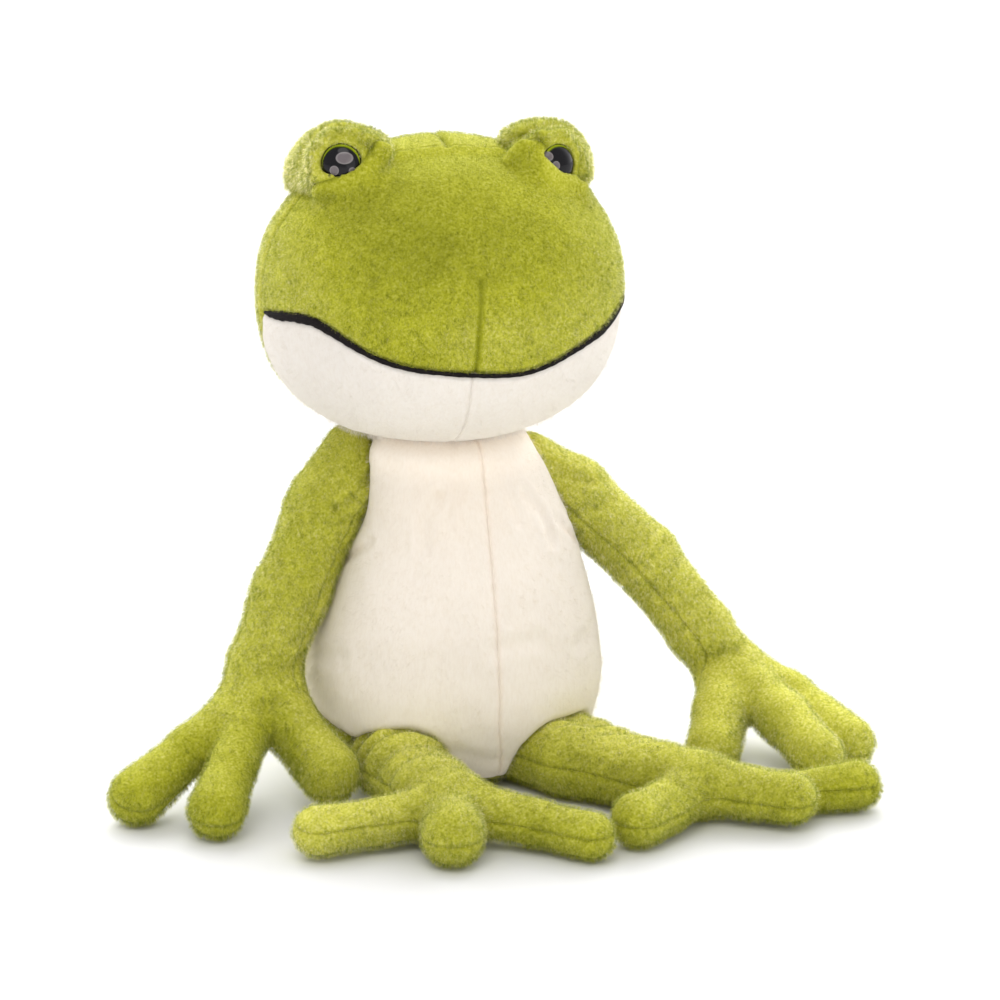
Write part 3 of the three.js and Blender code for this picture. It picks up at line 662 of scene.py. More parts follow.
FILL = cloth_like("fibre_fill", (0.90, 0.90, 0.87), (0.72, 0.72, 0.70), 320, bump=0.7, distance=0.001)
POUCH = cloth_like("pellet_pouch", (0.72, 0.68, 0.58), (0.50, 0.46, 0.38), 420, bump=0.7, distance=0.0015)
WASHER = cloth_like("washer_plastic", (0.80, 0.80, 0.77), (0.72, 0.72, 0.69), 900, rough=0.45, bump=0.1, distance=0.0002, sheen=0.0)


def pupil_material(name, side):
    """A glossy black dome with a thin green ring that shows above the pupil and three small pale grey printed spots."""
    m, tree, nodes, links, bsdf = new_material(name)
    co = nodes.new("ShaderNodeTexCoord")
    sep = nodes.new("ShaderNodeSeparateXYZ")
    links.new(co.outputs["Object"], sep.inputs[0])

    def disc(cx, cy, rx, ry, soft=0.03):
        a = nodes.new("ShaderNodeMath"); a.operation = "SUBTRACT"
        links.new(sep.outputs[0], a.inputs[0]); a.inputs[1].default_value = cx * EYE_R * MM
        b = nodes.new("ShaderNodeMath"); b.operation = "SUBTRACT"
        links.new(sep.outputs[1], b.inputs[0]); b.inputs[1].default_value = cy * EYE_R * MM
        out = []
        for x, r in ((a, rx), (b, ry)):
            d = nodes.new("ShaderNodeMath"); d.operation = "DIVIDE"
            links.new(x.outputs[0], d.inputs[0]); d.inputs[1].default_value = r * EYE_R * MM
            q = nodes.new("ShaderNodeMath"); q.operation = "POWER"
            absn = nodes.new("ShaderNodeMath"); absn.operation = "ABSOLUTE"
            links.new(d.outputs[0], absn.inputs[0])
            links.new(absn.outputs[0], q.inputs[0]); q.inputs[1].default_value = 2
            out.append(q)
        s = nodes.new("ShaderNodeMath"); s.operation = "ADD"
        links.new(out[0].outputs[0], s.inputs[0]); links.new(out[1].outputs[0], s.inputs[1])
        root_ = nodes.new("ShaderNodeMath"); root_.operation = "SQRT"
        links.new(s.outputs[0], root_.inputs[0])
        mr = nodes.new("ShaderNodeMapRange")
        mr.inputs["From Min"].default_value = 1 + soft
        mr.inputs["From Max"].default_value = 1 - soft
        links.new(root_.outputs[0], mr.inputs["Value"])
        return mr.outputs[0]

    black = (0.006, 0.0055, 0.007)
    c = mix(nodes, links, black, (0.36, 0.44, 0.016), disc(0, 0.02, 0.93, 0.92))
    c = mix(nodes, links, c, (0.06, 0.08, 0.004), disc(0, -0.05, 0.92, 0.90))
    c = mix(nodes, links, c, black, disc(0, -0.085, 0.915, 0.885))
    spots = ([(0.20, 0.27, 0.40, 0.28), (-0.30, -0.35, 0.22, 0.22), (0.60, -0.36, 0.17, 0.17)] if side < 0 else
             [(-0.68, 0.42, 0.22, 0.22), (-0.36, -0.08, 0.19, 0.21), (-0.80, -0.34, 0.13, 0.14)])
    for cx, cy, rx, ry in spots:
        c = mix(nodes, links, c, (0.22, 0.20, 0.20), disc(cx, cy, rx * 1.06, ry * 1.06, 0.05))
        c = mix(nodes, links, c, (0.145, 0.125, 0.13), disc(cx, cy, rx * 0.88, ry * 0.88, 0.12))
    links.new(c, bsdf.inputs["Base Color"])
    bsdf.inputs["Roughness"].default_value = 0.05
    bsdf.inputs["Specular IOR Level"].default_value = 0.22
    bsdf.inputs["Coat Weight"].default_value = 0.0
    return m


# ---------------------------------------------------------------- pieces
def put_object(name, v, faces, material, smooth=True, laid=None, seam=None, tone=None):
    mesh = bpy.data.meshes.new(name)
    mesh.from_pydata((v * MM).tolist(), [], faces.tolist() if hasattr(faces, "tolist") else faces)
    mesh.update()
    o = bpy.data.objects.new(name, mesh)
    bpy.context.scene.collection.objects.link(o)
    o.data.materials.append(material)
    if smooth:
        mesh.polygons.foreach_set("use_smooth", [True] * len(mesh.polygons))
    a = mesh.attributes.new("laid", "FLOAT_VECTOR", "POINT")
    a.data.foreach_set("vector", ((v if laid is None else laid) * MM).astype(np.float32).ravel())
    if seam is not None:
        a = mesh.attributes.new("seam", "FLOAT", "POINT")
        a.data.foreach_set("value", seam.astype(np.float32))
    # the painted light and shade, with the cream's warmth
    if tone is not None:      # on the corners, so that the pile can read it at each root
        a = mesh.color_attributes.new("tone", "BYTE_COLOR", "CORNER")
        at = np.zeros(len(mesh.loops), int)
        mesh.loops.foreach_get("vertex_index", at)
        four = np.concatenate([tone, np.zeros((len(tone), 1)), np.ones((len(tone), 1))], 1)
        a.data.foreach_set("color", np.clip(four[at], 0, 1).astype(np.float32).ravel())
    return o


def grow_pile(o, count, length, material_slot, lean=(0, 0, -0.25), rand=0.35, width=0.085, children=8, spread=0.7, seed=1, clump=0.15):
    m = o.modifiers.new("pile", "PARTICLE_SYSTEM")
    ps = o.particle_systems[-1]
    ps.seed = seed
    ps.vertex_group_density = "outside"
    ps.vertex_group_length = "length"
    s = ps.settings
    s.name = "pile_" + o.name
    s.type = "HAIR"
    s.use_advanced_hair = True
    s.count = int(count)
    speed = length * MM / 4      # a fibre is four times as long as its starting speed
    s.hair_length = length * MM
    s.emit_from = "FACE"
    s.use_even_distribution = True
    s.normal_factor = speed
    s.factor_random = rand * speed
    s.object_align_factor = [a * speed for a in lean]
    s.length_random = 0.3
    s.hair_step = 2
    s.render_step = 2
    s.display_step = 2
    s.material = material_slot
    s.child_type = "SIMPLE"
    s.rendered_child_count = children
    s.child_percent = 1
    s.child_radius = spread * MM
    s.child_roundness = 0.8
    s.clump_factor = clump
    s.roughness_endpoint = 0.10 * MM
    s.roughness_1 = 0.04 * MM
    s.roughness_1_size = 2 * MM
    s.roughness_2 = 0.06 * MM
    s.roughness_2_size = 0.8 * MM
    s.child_length = 1.0
    s.root_radius = width
    s.tip_radius = width * 0.45
    s.radius_scale = MM
    s.use_close_tip = True
    return ps


def panel(name, v, t, n, chosen, material, seam, nodes_, thick=CLOTH, short=None, bare=None, tone=None):
    """One panel of a skin: its outside, an inside one cloth thickness in, and the cut edge between them."""
    tri = t[chosen]
    used, inv = np.unique(tri, return_inverse=True)
    tri = inv.reshape(-1, 3)
    a, m = v[used], n[used]
    e = np.concatenate([tri[:, [0, 1]], tri[:, [1, 2]], tri[:, [2, 0]]])
    key = np.minimum(e[:, 0], e[:, 1]).astype(np.int64) * len(a) + np.maximum(e[:, 0], e[:, 1])
    _, first, count = np.unique(key, return_index=True, return_counts=True)
    rim = e[first[count == 1]]
    k = len(a)
    inner = a - m * thick
    rows = tri.tolist() + (tri[:, ::-1] + k).tolist() + [[int(q), int(p), int(p) + k, int(q) + k] for p, q in rim]
    both = np.concatenate([a, inner])
    # the painted light and shade, with the cream's warmth, unless given
    tone = paint_light_and_warmth(a, m, seam[used], name) if tone is None else tone[used]
    o = put_object(name, both, rows, material, laid=both, seam=np.concatenate([seam[used], seam[used]]), tone=np.concatenate([tone, tone]))
    g = o.vertex_groups.new(name="outside")
    g.add(list(range(k)) if bare is None else np.flatnonzero(~bare[used]).tolist(), 1.0, "REPLACE")
    g = o.vertex_groups.new(name="length")
    size = np.ones(k) if short is None else np.clip(short[used], 0.05, 1)
    for step_ in range(1, 21):
        g.add(np.flatnonzero(np.round(size * 20) == step_).tolist(), step_ / 20, "REPLACE")
    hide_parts(*nodes_)
    c = np.cross(a[tri[:, 1]] - a[tri[:, 0]], a[tri[:, 2]] - a[tri[:, 0]])
    o["area"] = float(np.linalg.norm(c, axis=1).sum() / 2)
    return o


def paint_light_and_warmth(v, n, seam, name):
    """Painted light and shade: the first number is how light it looks (0.5 is plain), lighter where parts face up or
    turn to the side as painted light and sheen, darker on shaded parts and in the seams, with some random change; the
    second is how warm the cream is.
    """
    light = 0.5 + 0.15 * noise(v / 12.0, 81) + 0.05 * noise(v / 5.0, 82)
    warm = np.full(len(v), 0.25)
    if "head" in name or "mound" in name:
        light = 0.5 + 0.05 * noise(v / 14.0, 83)
        # painted shade on the forehead and painted light on the snout
        light += -0.20 * np.exp(-((v[:, 0] + 6) / 28) ** 2 - ((v[:, 2] - 168) / 16) ** 2) * (v[:, 1] < -15)
        light += 0.22 * np.exp(-((v[:, 0] + 6) / 36) ** 2 - ((v[:, 2] - 141) / 10) ** 2) * (v[:, 1] < -15)
        if "mound" not in name:
            # the face painted lighter where it turns to either side, as a painted sheen, with a little painted shade
            # where it first turns to the frog's right
            light += -0.13 * step(-n[:, 0], 0.05, 0.35) + 0.34 * step(-n[:, 0], 0.5, 0.95) + 0.14 * step(n[:, 0], 0.15, 0.6) + 0.22 * step(n[:, 0], 0.7, 1.0)
        if "back" in name:
            light += 0.15
        if "mound" in name:
            # the mounds painted lighter, most on their sides, as a painted sheen
            light += 0.20 + 0.14 * noise(v / 3.0, 84) + 0.22 * step(-n[:, 0], 0.3, 0.9) + 0.2 * step(n[:, 0], 0.5, 0.95)
        if "chin" in name:
            # the chin painted darker at its sides, as painted shade
            light = 0.40 - 0.16 * step(np.abs(n[:, 0]), 0.25, 0.8)
            warm = 0.08 + 0 * light
    elif "belly" in name:
        # the belly painted lighter under the chin and low down, where shadows fall, and darker on its left side as
        # painted shade
        light = 0.46 + 0.03 * noise(v / 9.0, 85) + 0.50 * step(v[:, 2], 91, 99) - 0.22 * step(v[:, 0], 6, 30) + 0.24 * (1 - step(v[:, 2], 22, 42))
        # warmer towards the top middle of the belly
        warm = 0.55 + 0.35 * np.exp(-((v[:, 0] + 8) / 20) ** 2 - ((v[:, 2] - 92) / 16) ** 2)
    else:
        # each limb painted lighter or darker in places, as painted light and shade
        if "arm_left" in name:
            light += 0.12 + 0.14 * step(v[:, 2], 24, 36)
        if "arm_right" in name:
            light += 0.03 + 0.12 * np.exp(-((v[:, 2] - 46) / 12) ** 2) - 0.20 * (1 - step(v[:, 2], 22, 38)) * (v[:, 0] < -58)
        if "leg_right" in name:
            light += 0.24 * step(-v[:, 0], 34, 48) - 0.12 * step(v[:, 0], -14, 0)
        if "leg_left" in name:
            light -= 0.06 + 0.16 * step(v[:, 0], 78, 90)
        # painted light from above: tops lighter, undersides darker
        light += 0.12 + 0.06 * ("leg" in name) + 0.20 * np.clip(n[:, 2], 0, 1) ** 2 - 0.10 * np.clip(-n[:, 2], 0, 1)
        if "leg" in name:
            # the tops of the feet painted lighter still
            light += 0.20 * np.clip(n[:, 2], 0, 1) * step(v[:, 1], -78, -50)
    light = light - 0.35 * seam * ("belly" not in name and "chin" not in name)
    return np.stack([light, warm], 1)


RES = 1.25
made = {}

# ---------------------------------------------------------------- head
NOSE_X, CHIN_X = -1.0, -2.0
HOLE = (2.94, 1.17, 20.3)


def f_side(q):
    crown = step(q[:, 2], 24, 42) * (1 - step(np.abs(q[:, 0]), 16, 38))
    return q[:, 1] + 1.4 + 7.5 * crown - 7.0 * step(-q[:, 2], 5, 16)


def f_mouth(q):
    return q[:, 2] - mouth_z(np.degrees(np.arctan2(q[:, 0], -q[:, 1])))


def f_pod(q):
    return (pods(q) - skull(q)) + 0.6


def f_lid_right(q):
    return -(0.225 * q[:, 0] - 0.952 * q[:, 1] + 0.206 * q[:, 2] - 10.3)


def f_lid_left(q):
    return -(-0.30 * q[:, 0] - 0.93 * q[:, 1] + 0.206 * q[:, 2] - 10.9)


HL = ["face", "chin_right", "chin_left", "back_right", "back_left", "front_right", "front_left", "rear_right", "rear_left"]


def head_label(q):
    pod = f_pod(q) < 0
    left = q[:, 0] > 0
    lid = np.where(left, f_lid_left(q), f_lid_right(q)) < 0
    front = f_side(q) < 0
    low = f_mouth(q) < 0
    cl = q[:, 0] > CHIN_X
    lab = np.where(front, np.where(low, np.where(cl, 2, 1), 0), np.where(left, 4, 3))
    return np.where(pod, np.where(lid, np.where(left, 6, 5), np.where(left, 8, 7)), lab)


v, t = grown(head, (-60, -53, -48), (60, 53, 55), RES)
v, t = split(v, t, f_side, RES)
v, t = split(v, t, f_mouth, RES)
v, t = split(v, t, f_pod, RES)
v, t = split(v, t, f_lid_right, RES)
v, t = split(v, t, f_lid_left, RES)
v, t = split(v, t, lambda q: q[:, 0] - NOSE_X, RES)
v, t = split(v, t, lambda q: q[:, 0] - CHIN_X, RES)
v, t = split(v, t, lambda q: q[:, 0], RES)
hole = lambda q: np.hypot(q[:, 0] - HOLE[0], q[:, 1] - HOLE[1]) - HOLE[2]
v, t = split(v, t, hole, RES)
centre = v[t].mean(1)
t = t[~((hole(centre) < 0) & (centre[:, 2] < -30))]
used, inv = np.unique(t, return_inverse=True)
v, t = v[used], inv.reshape(-1, 3)
label = head_label(v[t].mean(1))
n = normals(v, t)
pts, pairs = seam_points(v, t, label)
lo_, hi_ = pairs.min(1), pairs.max(1)
is_mouth = (lo_ == 0) & ((hi_ == 1) | (hi_ == 2))
is_podbase = (hi_ >= 5) & (lo_ < 5)
is_lid = (hi_ >= 5) & (lo_ >= 5)
is_crown = (lo_ == 0) & ((hi_ == 3) | (hi_ == 4)) & (pts[:, 2] > 30)
is_chin = (lo_ == 1) & (hi_ == 2)
is_plain = ~(is_mouth | is_podbase | is_lid | is_crown | is_chin)
sink_chin = press(v, n, pts[is_chin], 0.2, 0.8, 0.3, 6, 7)
sink = press(v, n, pts[is_mouth], 1.0, 1.2, 0.0) + sink_chin
sink += press(v, n, pts[is_plain], 0.9, 1.15, 0.35, 5.5, 2)
sink += press(v, n, pts[is_podbase], 0.9, 1.3, 0.4, 6, 3)
sink += press(v, n, pts[is_lid], 0.6, 1.3, 0.3, 5, 4, 0.45)
dart = project(head, dense([(NOSE_X + 1.1, -48, 10.7), (NOSE_X + 0.8, -49, 2), (NOSE_X + 0.2, -48, -8), (NOSE_X - 0.3, -45.5, -17)]), 3)
dd, kk = nearest(dart, v, 6.0)
fade = 0.45 + 0.55 * step(-dart[kk][:, 2], -9, 14)
sink -= np.where(dd < 6, 1.05 * fade * np.exp(-(dd / 0.7) ** 2), 0)
gap_all = np.minimum(nearest(pts[~is_mouth & ~is_crown], v, 5.0)[0], dd + 0.6)
# the crown of the face lies a little lower than the back of the head, and the cheeks fill out
q = v
sink += -1.2 * step(-f_side(q), 0, 6) * (1 - step(-f_side(q), 8, 26)) * step(q[:, 2], 30, 43) * (label.max() > 0)
sink += 0.9 * np.exp(-(q[:, 0] / 17) ** 2 - ((q[:, 1] - 3) / 10) ** 2) * (q[:, 2] > 30) * step(f_side(q), 0, 4)
sink += 0.35 * noise(q / 17.0, 11) + 0.22 * noise(q / 7.5, 12) + 0.10 * noise(q / 3.2, 13)
for s in (-1, 1):
    c, out, up, right = eye_frame(s)
    rel = q - c
    along = rel @ out
    rho = np.linalg.norm(rel - along[:, None] * out, axis=1)
    near = (along > -6) & (along < 6)
    calm = np.where(near, step(rho, 6.5, 9.5), 1.0)
    sink = sink * calm
v = v + sink[:, None] * n
seam_dark = np.maximum(0.7 * np.exp(-(gap_all / 0.7) ** 2), 1.5 * fade * np.exp(-(dd / 0.75) ** 2))
seam_dark = np.clip(seam_dark, 0, 1)
row = to_row(v)
rn = normals(row, t)
HEAD_PARTS = {
    "face": (GREEN, GREEN_PILE, "head_face_panel", "green_plush"),
    "chin_right": (CREAM, CREAM_PILE, "head_chin_panel_right", "cream_plush"),
    "chin_left": (CREAM, CREAM_PILE, "head_chin_panel_left", "cream_plush"),
    "back_right": (GREEN, GREEN_PILE, "head_back_panel_right", "green_plush"),
    "back_left": (GREEN, GREEN_PILE, "head_back_panel_left", "green_plush"),
    "front_right": (GREEN, GREEN_PILE, "eye_mound_front_right", "green_plush"),
    "front_left": (GREEN, GREEN_PILE, "eye_mound_front_left", "green_plush"),
    "rear_right": (GREEN, GREEN_PILE, "eye_mound_rear_right", "green_plush"),
    "rear_left": (GREEN, GREEN_PILE, "eye_mound_rear_left", "green_plush"),
}
# no pile under the eyes
bare = np.zeros(len(v), bool)
short = np.ones(len(v))
for s in (-1, 1):
    c, out, up, right = eye_frame(s)
    rel = q - c
    along = rel @ out
    rho = np.linalg.norm(rel - along[:, None] * out, axis=1)
    bare |= (rho < 6.0) & (along > -8) & (along < 2.9)
    bare |= (rho < 7.0) & (along > -8) & (along < 7) & (rel @ up < 1)
    short = np.minimum(short, 0.2 + 0.8 * step(np.hypot(rho, np.maximum(0, np.abs(along) - 5)), 6.2, 10.5))
short = short * (0.55 + 0.45 * step(gap_all, 0.2, 1.8))
short = np.where(dd < 1.0, np.minimum(short, 0.25 + 0.3 * dd), short)
bare |= dd < 0.5
for i, key in enumerate(HL):
    mat, pile, node, slot = HEAD_PARTS[key]
    dark = seam_dark * (0.12 if mat is CREAM else 1.0)
    o = panel("skin_" + node, row, t, rn, label == i, mat, dark, [node], short=short, bare=bare)
    o.data.materials.append(pile)
    made[node] = (o, "head")


# ---------------------------------------------------------------- eyes
def eye_piece(s):
    c, out, up, right = eye_frame(s)
    prof = [(0.0, EYE_DOME)]
    for k in range(1, 15):
        a = math.pi / 2 * (1 - k / 15)
        prof.append((EYE_R * math.cos(a), EYE_DOME * math.sin(a)))
    prof += [(EYE_R, 0.0), (EYE_R * 1.0, -0.35), (EYE_R * 0.96, -0.8), (EYE_R * 0.8, -1.2), (1.7, -1.3), (1.6, -9.4), (0.0, -9.5)]
    N = 64
    verts, faces = [(0, 0, prof[0][1])], []
    for r, z in prof[1:-1]:
        verts += [(r * math.cos(2 * math.pi * i / N), r * math.sin(2 * math.pi * i / N), z) for i in range(N)]
    verts.append((0, 0, prof[-1][1]))
    rings = len(prof) - 2
    for i in range(N):
        j = (i + 1) % N
        faces.append((0, 1 + i, 1 + j))
        for k in range(rings - 1):
            a, b = 1 + k * N, 1 + (k + 1) * N
            faces.append((a + i, b + i, b + j, a + j))
        last = 1 + (rings - 1) * N
        faces.append((last + j, last + i, len(verts) - 1))
    side = "right" if s < 0 else "left"
    mat = pupil_material("eye_plastic_" + side, s)
    o = put_object("dome_eye_" + side, np.array(verts, float), faces, mat)
    o.data.materials[0] = mat
    R3 = np.array([[C, -S, 0], [S, C, 0], [0, 0, 1]])
    centre = to_row(c[None])[0]
    x, y, z = R3 @ right, R3 @ up, R3 @ out
    o.matrix_world = Matrix(((x[0], y[0], z[0], centre[0] * MM), (x[1], y[1], z[1], centre[1] * MM), (x[2], y[2], z[2], centre[2] * MM), (0, 0, 0, 1)))
    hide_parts("eye_dome_" + side)
    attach(o, "head")


eye_piece(-1)
eye_piece(1)


# ---------------------------------------------------------------- mouth line: two black yarns laid side by side along the seam
def mouth_piece():
    degs = np.linspace(-85, 85, 520)
    r = np.radians(degs)
    base = np.stack([50 * np.sin(r), -50 * np.cos(r), mouth_z(degs)], 1)
    for _ in range(4):      # out to the skin, keeping the height
        f = head(base)
        h = np.hypot(base[:, 0], base[:, 1])
        base[:, :2] *= (1 - f / 0.85 / h)[:, None]
    g = gradient(head, base); g /= np.linalg.norm(g, axis=1)[:, None]
    tan = np.gradient(base, axis=0); tan /= np.linalg.norm(tan, axis=1)[:, None]
    side = np.cross(g, tan); side /= np.linalg.norm(side, axis=1)[:, None]
    half = np.interp(degs, [-85, -80, -72, -57, -48, -40, -20, 20, 36, 46, 52, 61, 68, 80, 85],
                     [0.3, 1.0, 1.38, 1.38, 1.08, 0.78, 0.66, 0.66, 0.76, 1.02, 1.24, 1.26, 1.08, 0.8, 0.3])
    s = np.concatenate([[0], np.cumsum(np.linalg.norm(np.diff(base, axis=0), axis=1))])
    N = 26
    verts, faces = [], []
    for i in range(len(base)):
        th = np.arange(N) / N * 2 * math.pi
        wob = 1 + 0.07 * math.sin(s[i] * 1.7) + 0.05 * math.sin(s[i] * 0.63 + 1)
        ply = 0.80 + 0.20 * np.abs(np.cos(th))                     # two yarns with a groove between them
        strand = 1 + 0.07 * np.cos(7 * th + s[i] * 5.2)
        up = np.sin(th + math.pi / 2)                              # +1 on the upper edge
        w = half[i] * wob
        rag = 1 + 0.10 * noise(np.array([[s[i] * 0.9, 3.1, 0.0]]), 31)[0] * (up > 0)
        across = w * np.cos(th) * rag * strand
        outw = 0.75 * np.minimum(w, 1.0) * np.sin(th) * ply * strand
        p = base[i] + side[i] * across[:, None] + g[i] * (outw[:, None] + 0.2)
        verts.append(p)
    verts = np.concatenate(verts)
    L = len(base)
    for i in range(L - 1):
        for j in range(N):
            k = (j + 1) % N
            faces.append((i * N + j, i * N + k, (i + 1) * N + k, (i + 1) * N + j))
    faces.append(tuple(range(N - 1, -1, -1)))
    faces.append(tuple(range((L - 1) * N, L * N)))
    o = put_object("yarn_mouth_line", to_row(verts), faces, BLACK)
    bm_fix(o)
    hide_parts("mouth_line_cord")
    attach(o, "head")


def bm_fix(o):
    import bmesh
    b = bmesh.new()
    b.from_mesh(o.data)
    bmesh.ops.recalc_face_normals(b, faces=b.faces)
    b.to_mesh(o.data)
    b.free()


mouth_piece()


# ---------------------------------------------------------------- torso
def f_flank(p):
    a = np.interp(p[:, 2], FLANK[::-1, 1], FLANK[::-1, 0])
    b = np.interp(p[:, 2], FLANK_R[::-1, 1], FLANK_R[::-1, 0])
    return p[:, 1] - (b + (a - b) * step(p[:, 0], -26, -6))


def f_belly(p):
    return p[:, 0] - np.interp(p[:, 2], [0, 9, 22], [3.0, 2.5, 0.0])


def f_seat(p):
    return np.hypot(p[:, 0], p[:, 1]) + np.maximum(p[:, 2] - 3, 0) * 30 - 26


v, t = grown(torso, (-53, -49, -2), (50, 48, 109), RES)
for fn in (f_flank, f_belly, lambda p: p[:, 0], f_seat):
    v, t = split(v, t, fn, RES)
c = v[t].mean(1)
seat = f_seat(c) < 0
front = f_flank(c) < 0
label = np.where(seat, 0, np.where(front, np.where(f_belly(c) > 0, 2, 1), np.where(c[:, 0] > 0, 4, 3)))
n = normals(v, t)
pts, pairs = seam_points(v, t, label)
lo_, hi_ = pairs.min(1), pairs.max(1)
centre_front = (lo_ == 1) & (hi_ == 2)
sink = press(v, n, pts[centre_front], 0.12, 0.8, 0.2, 6, 21)
sink += press(v, n, pts[~centre_front], 1.0, 1.25, 0.6, 6, 22)
sink += 0.55 * noise(v / 19.0, 23) + 0.28 * noise(v / 8.0, 24) + 0.12 * noise(v / 3.5, 25)
# gathers under the chin and drag lines from the arm roots and hips
ang = np.arctan2(v[:, 0], -v[:, 1])
gather = noise(np.stack([ang * 5.5, v[:, 2] / 60, 0 * ang], 1), 26)
sink += 0.9 * gather * step(v[:, 2], 84, 101)
sink += 0.16 * np.cos(v[:, 0] * 2.9 + 0.6 * noise(v / 5.0, 27)) * np.exp(-((v[:, 0] + 5) / 8.5) ** 4 - ((v[:, 2] - 95.5) / 5.0) ** 2) * (v[:, 1] < 0)
folds = [
    ([(-16, -33, 92), (-20, -31, 84), (-21, -33, 76)], 0.8, 1.8), ([(-8, -36, 97), (-10, -37, 90), (-10.5, -38, 84)], 0.55, 1.6),
    ([(17, -33, 92), (22, -30, 84), (24, -31, 75)], 0.8, 1.8), ([(10, -36, 97), (12, -37, 90), (13, -38, 84)], 0.5, 1.6),
    ([(-37, -2, 65.5), (-35.2, -6.9, 68.3), (-32.6, -11.9, 72.5), (-30.5, -15, 74.8)], 0.6, 1.5),
    ([(33.5, -12, 69.5), (31.1, -16.3, 71.9)], 0.7, 1.8), ([(31.1, -16.3, 71.9), (28.3, -19.1, 75.6), (24.5, -22.5, 79.2)], 0.8, 1.7),
    ([(-0.9, -42.7, 46.9), (5, -42.3, 47.4), (13.5, -40.2, 47.8)], 0.5, 2.4), ([(-41.7, -2, 36), (-41.7, -6.7, 38.3), (-38, -17, 40.6)], 0.6, 2.4),
    ([(38, -20, 47), (35, -26, 44), (29, -33, 43)], 0.5, 2.4), ([(-12, -42, 14), (-4, -43, 10), (3, -43, 7)], 0.4, 2.2),
]
for k, (line, depth, width) in enumerate(folds):
    sink += press(v, n, project(torso, dense(line), 3), depth, width, shoulder=0.4)
gap_all = nearest(pts, v, 5.0)[0]
sink = sink * (1 - 0.85 * (1 - step(v[:, 2], 0.3, 3.0)))
v = v + sink[:, None] * n
v[:, 2] = np.maximum(v[:, 2], 0.12)
rn = normals(v, t)
# painted shade along the two armpit creases, added to the darker seams
armpit_crease_shade = project(torso, dense([(-37, -2, 65.5), (-35.2, -6.9, 68.3), (-32.6, -11.9, 72.5)]), 3)
armpit_crease_shade = np.concatenate([armpit_crease_shade, project(torso, dense([(33.5, -12, 69.5), (30.5, -17, 72.5), (28, -20, 74.5)]), 3)])
seam_dark = np.maximum(0.8 * np.exp(-(gap_all / 0.75) ** 2), 0.7 * np.exp(-(nearest(armpit_crease_shade, v, 6.0)[0] / 1.4) ** 2))
for i, (node, mat, pile, slot) in enumerate([
        ("seat_panel", GREEN, GREEN_PILE, "green_plush"), ("belly_panel_right", CREAM, CREAM_PILE, "cream_plush"),
        ("belly_panel_left", CREAM, CREAM_PILE, "cream_plush"), ("back_panel_right", GREEN, GREEN_PILE, "green_plush"),
        ("back_panel_left", GREEN, GREEN_PILE, "green_plush")]):
    dark = seam_dark * (0.40 if mat is CREAM else 1.0)
    o = panel("skin_" + node, v, t, rn, label == i, mat, dark, [node], short=(0.88 if mat is CREAM else 0.6) + (0.12 if mat is CREAM else 0.4) * step(gap_all, 0.2, 1.8))
    o.data.materials.append(pile)
    made[node] = (o, "torso")


# ---------------------------------------------------------------- limbs
def f_arm(p):
    """The seam runs down the middle of the arm behind and comes forward on the side next to the body."""
    s = np.where(p[:, 0] < 0, -1, 1)
    middle = np.where(s < 0, np.interp(p[:, 2], [27, 38, 58, 81, 92], [-66, -61, -52.5, -41, -27]), np.interp(p[:, 2], [23, 35, 58, 80, 90], [86, 78, 59.5, 37, 24]))
    inside = step(-s * (p[:, 0] - middle), 2, 9) * step(p[:, 2], 22, 34) * (1 - step(p[:, 2], 84, 92))
    return p[:, 1] + 11.5 * inside - np.interp(p[:, 2], ARM_SEAM[::-1, 1], ARM_SEAM[::-1, 0])


def f_leg(p):
    return np.interp(p[:, 1], LEG_SEAM[::-1, 0], LEG_SEAM[::-1, 1]) - p[:, 2]


LIMB_FOLDS = {
    "arm_right": [([(-27, -8, 94), (-33, -10, 88), (-40, -9, 84)], 1.0, 1.5), ([(-40, -13, 84), (-32, -12, 80), (-27, -9, 77)], 0.4, 1.8),
                  ([(-39, -14, 62), (-44, -16, 58), (-52, -16, 55)], 0.5, 1.8), ([(-50, -15, 40), (-58, -18, 38), (-66, -15, 38)], 0.45, 2.0),
                  ([(-60, -20, 30), (-66, -21, 29), (-73, -18, 29)], 0.5, 1.8)],
    "arm_left": [([(27, -8, 94), (33, -10, 89), (40, -8, 86)], 1.0, 1.5), ([(33, -10, 76), (40, -12, 78), (47, -9, 80)], 0.7, 1.8),
                 ([(50, -11, 57), (58, -13, 60), (66, -10, 65)], 0.55, 1.8), ([(63, -12, 42), (71, -14, 45), (79, -11, 49)], 0.5, 2.0),
                 ([(76, -14, 28), (84, -17, 31), (92, -13, 33)], 0.55, 1.8)],
    "leg_right": [([(-40, -26, 8), (-37, -27, 17), (-30, -27, 22), (-20, -28, 22), (-12, -25, 17)], 2.8, 1.6),
                  ([(-39, -34, 9), (-36, -35, 17), (-29, -35, 22), (-20, -36, 22), (-12, -33, 15)], 2.4, 1.6),
                  ([(-37, -43, 13), (-31, -44, 21), (-22, -45, 22), (-14, -42, 14)], 0.8, 1.7),
                  ([(-36, -52, 13), (-30, -53, 21), (-21, -54, 21), (-14, -51, 13)], 0.6, 1.6), ([(-33, -61, 14), (-27, -62, 19), (-20, -63, 19)], 0.4, 1.8)],
    "leg_left": [([(20, -42, 14), (28, -43, 21), (37, -40, 21), (43, -36, 14)], 0.8, 1.5), ([(25, -50, 14), (33, -50, 21), (42, -47, 21), (48, -43, 14)], 0.7, 1.6),
                 ([(33, -60, 14), (40, -60, 20), (48, -56, 20)], 0.5, 1.8)],
}
BOX = {"arm_right": ((-115, -58, -1), (-12, 16, 110)), "arm_left": ((12, -66, -1), (122, 16, 107)),
       "leg_right": ((-73, -108, -1), (21, 4, 28)), "leg_left": ((-8, -103, -1), (109, 7, 28))}
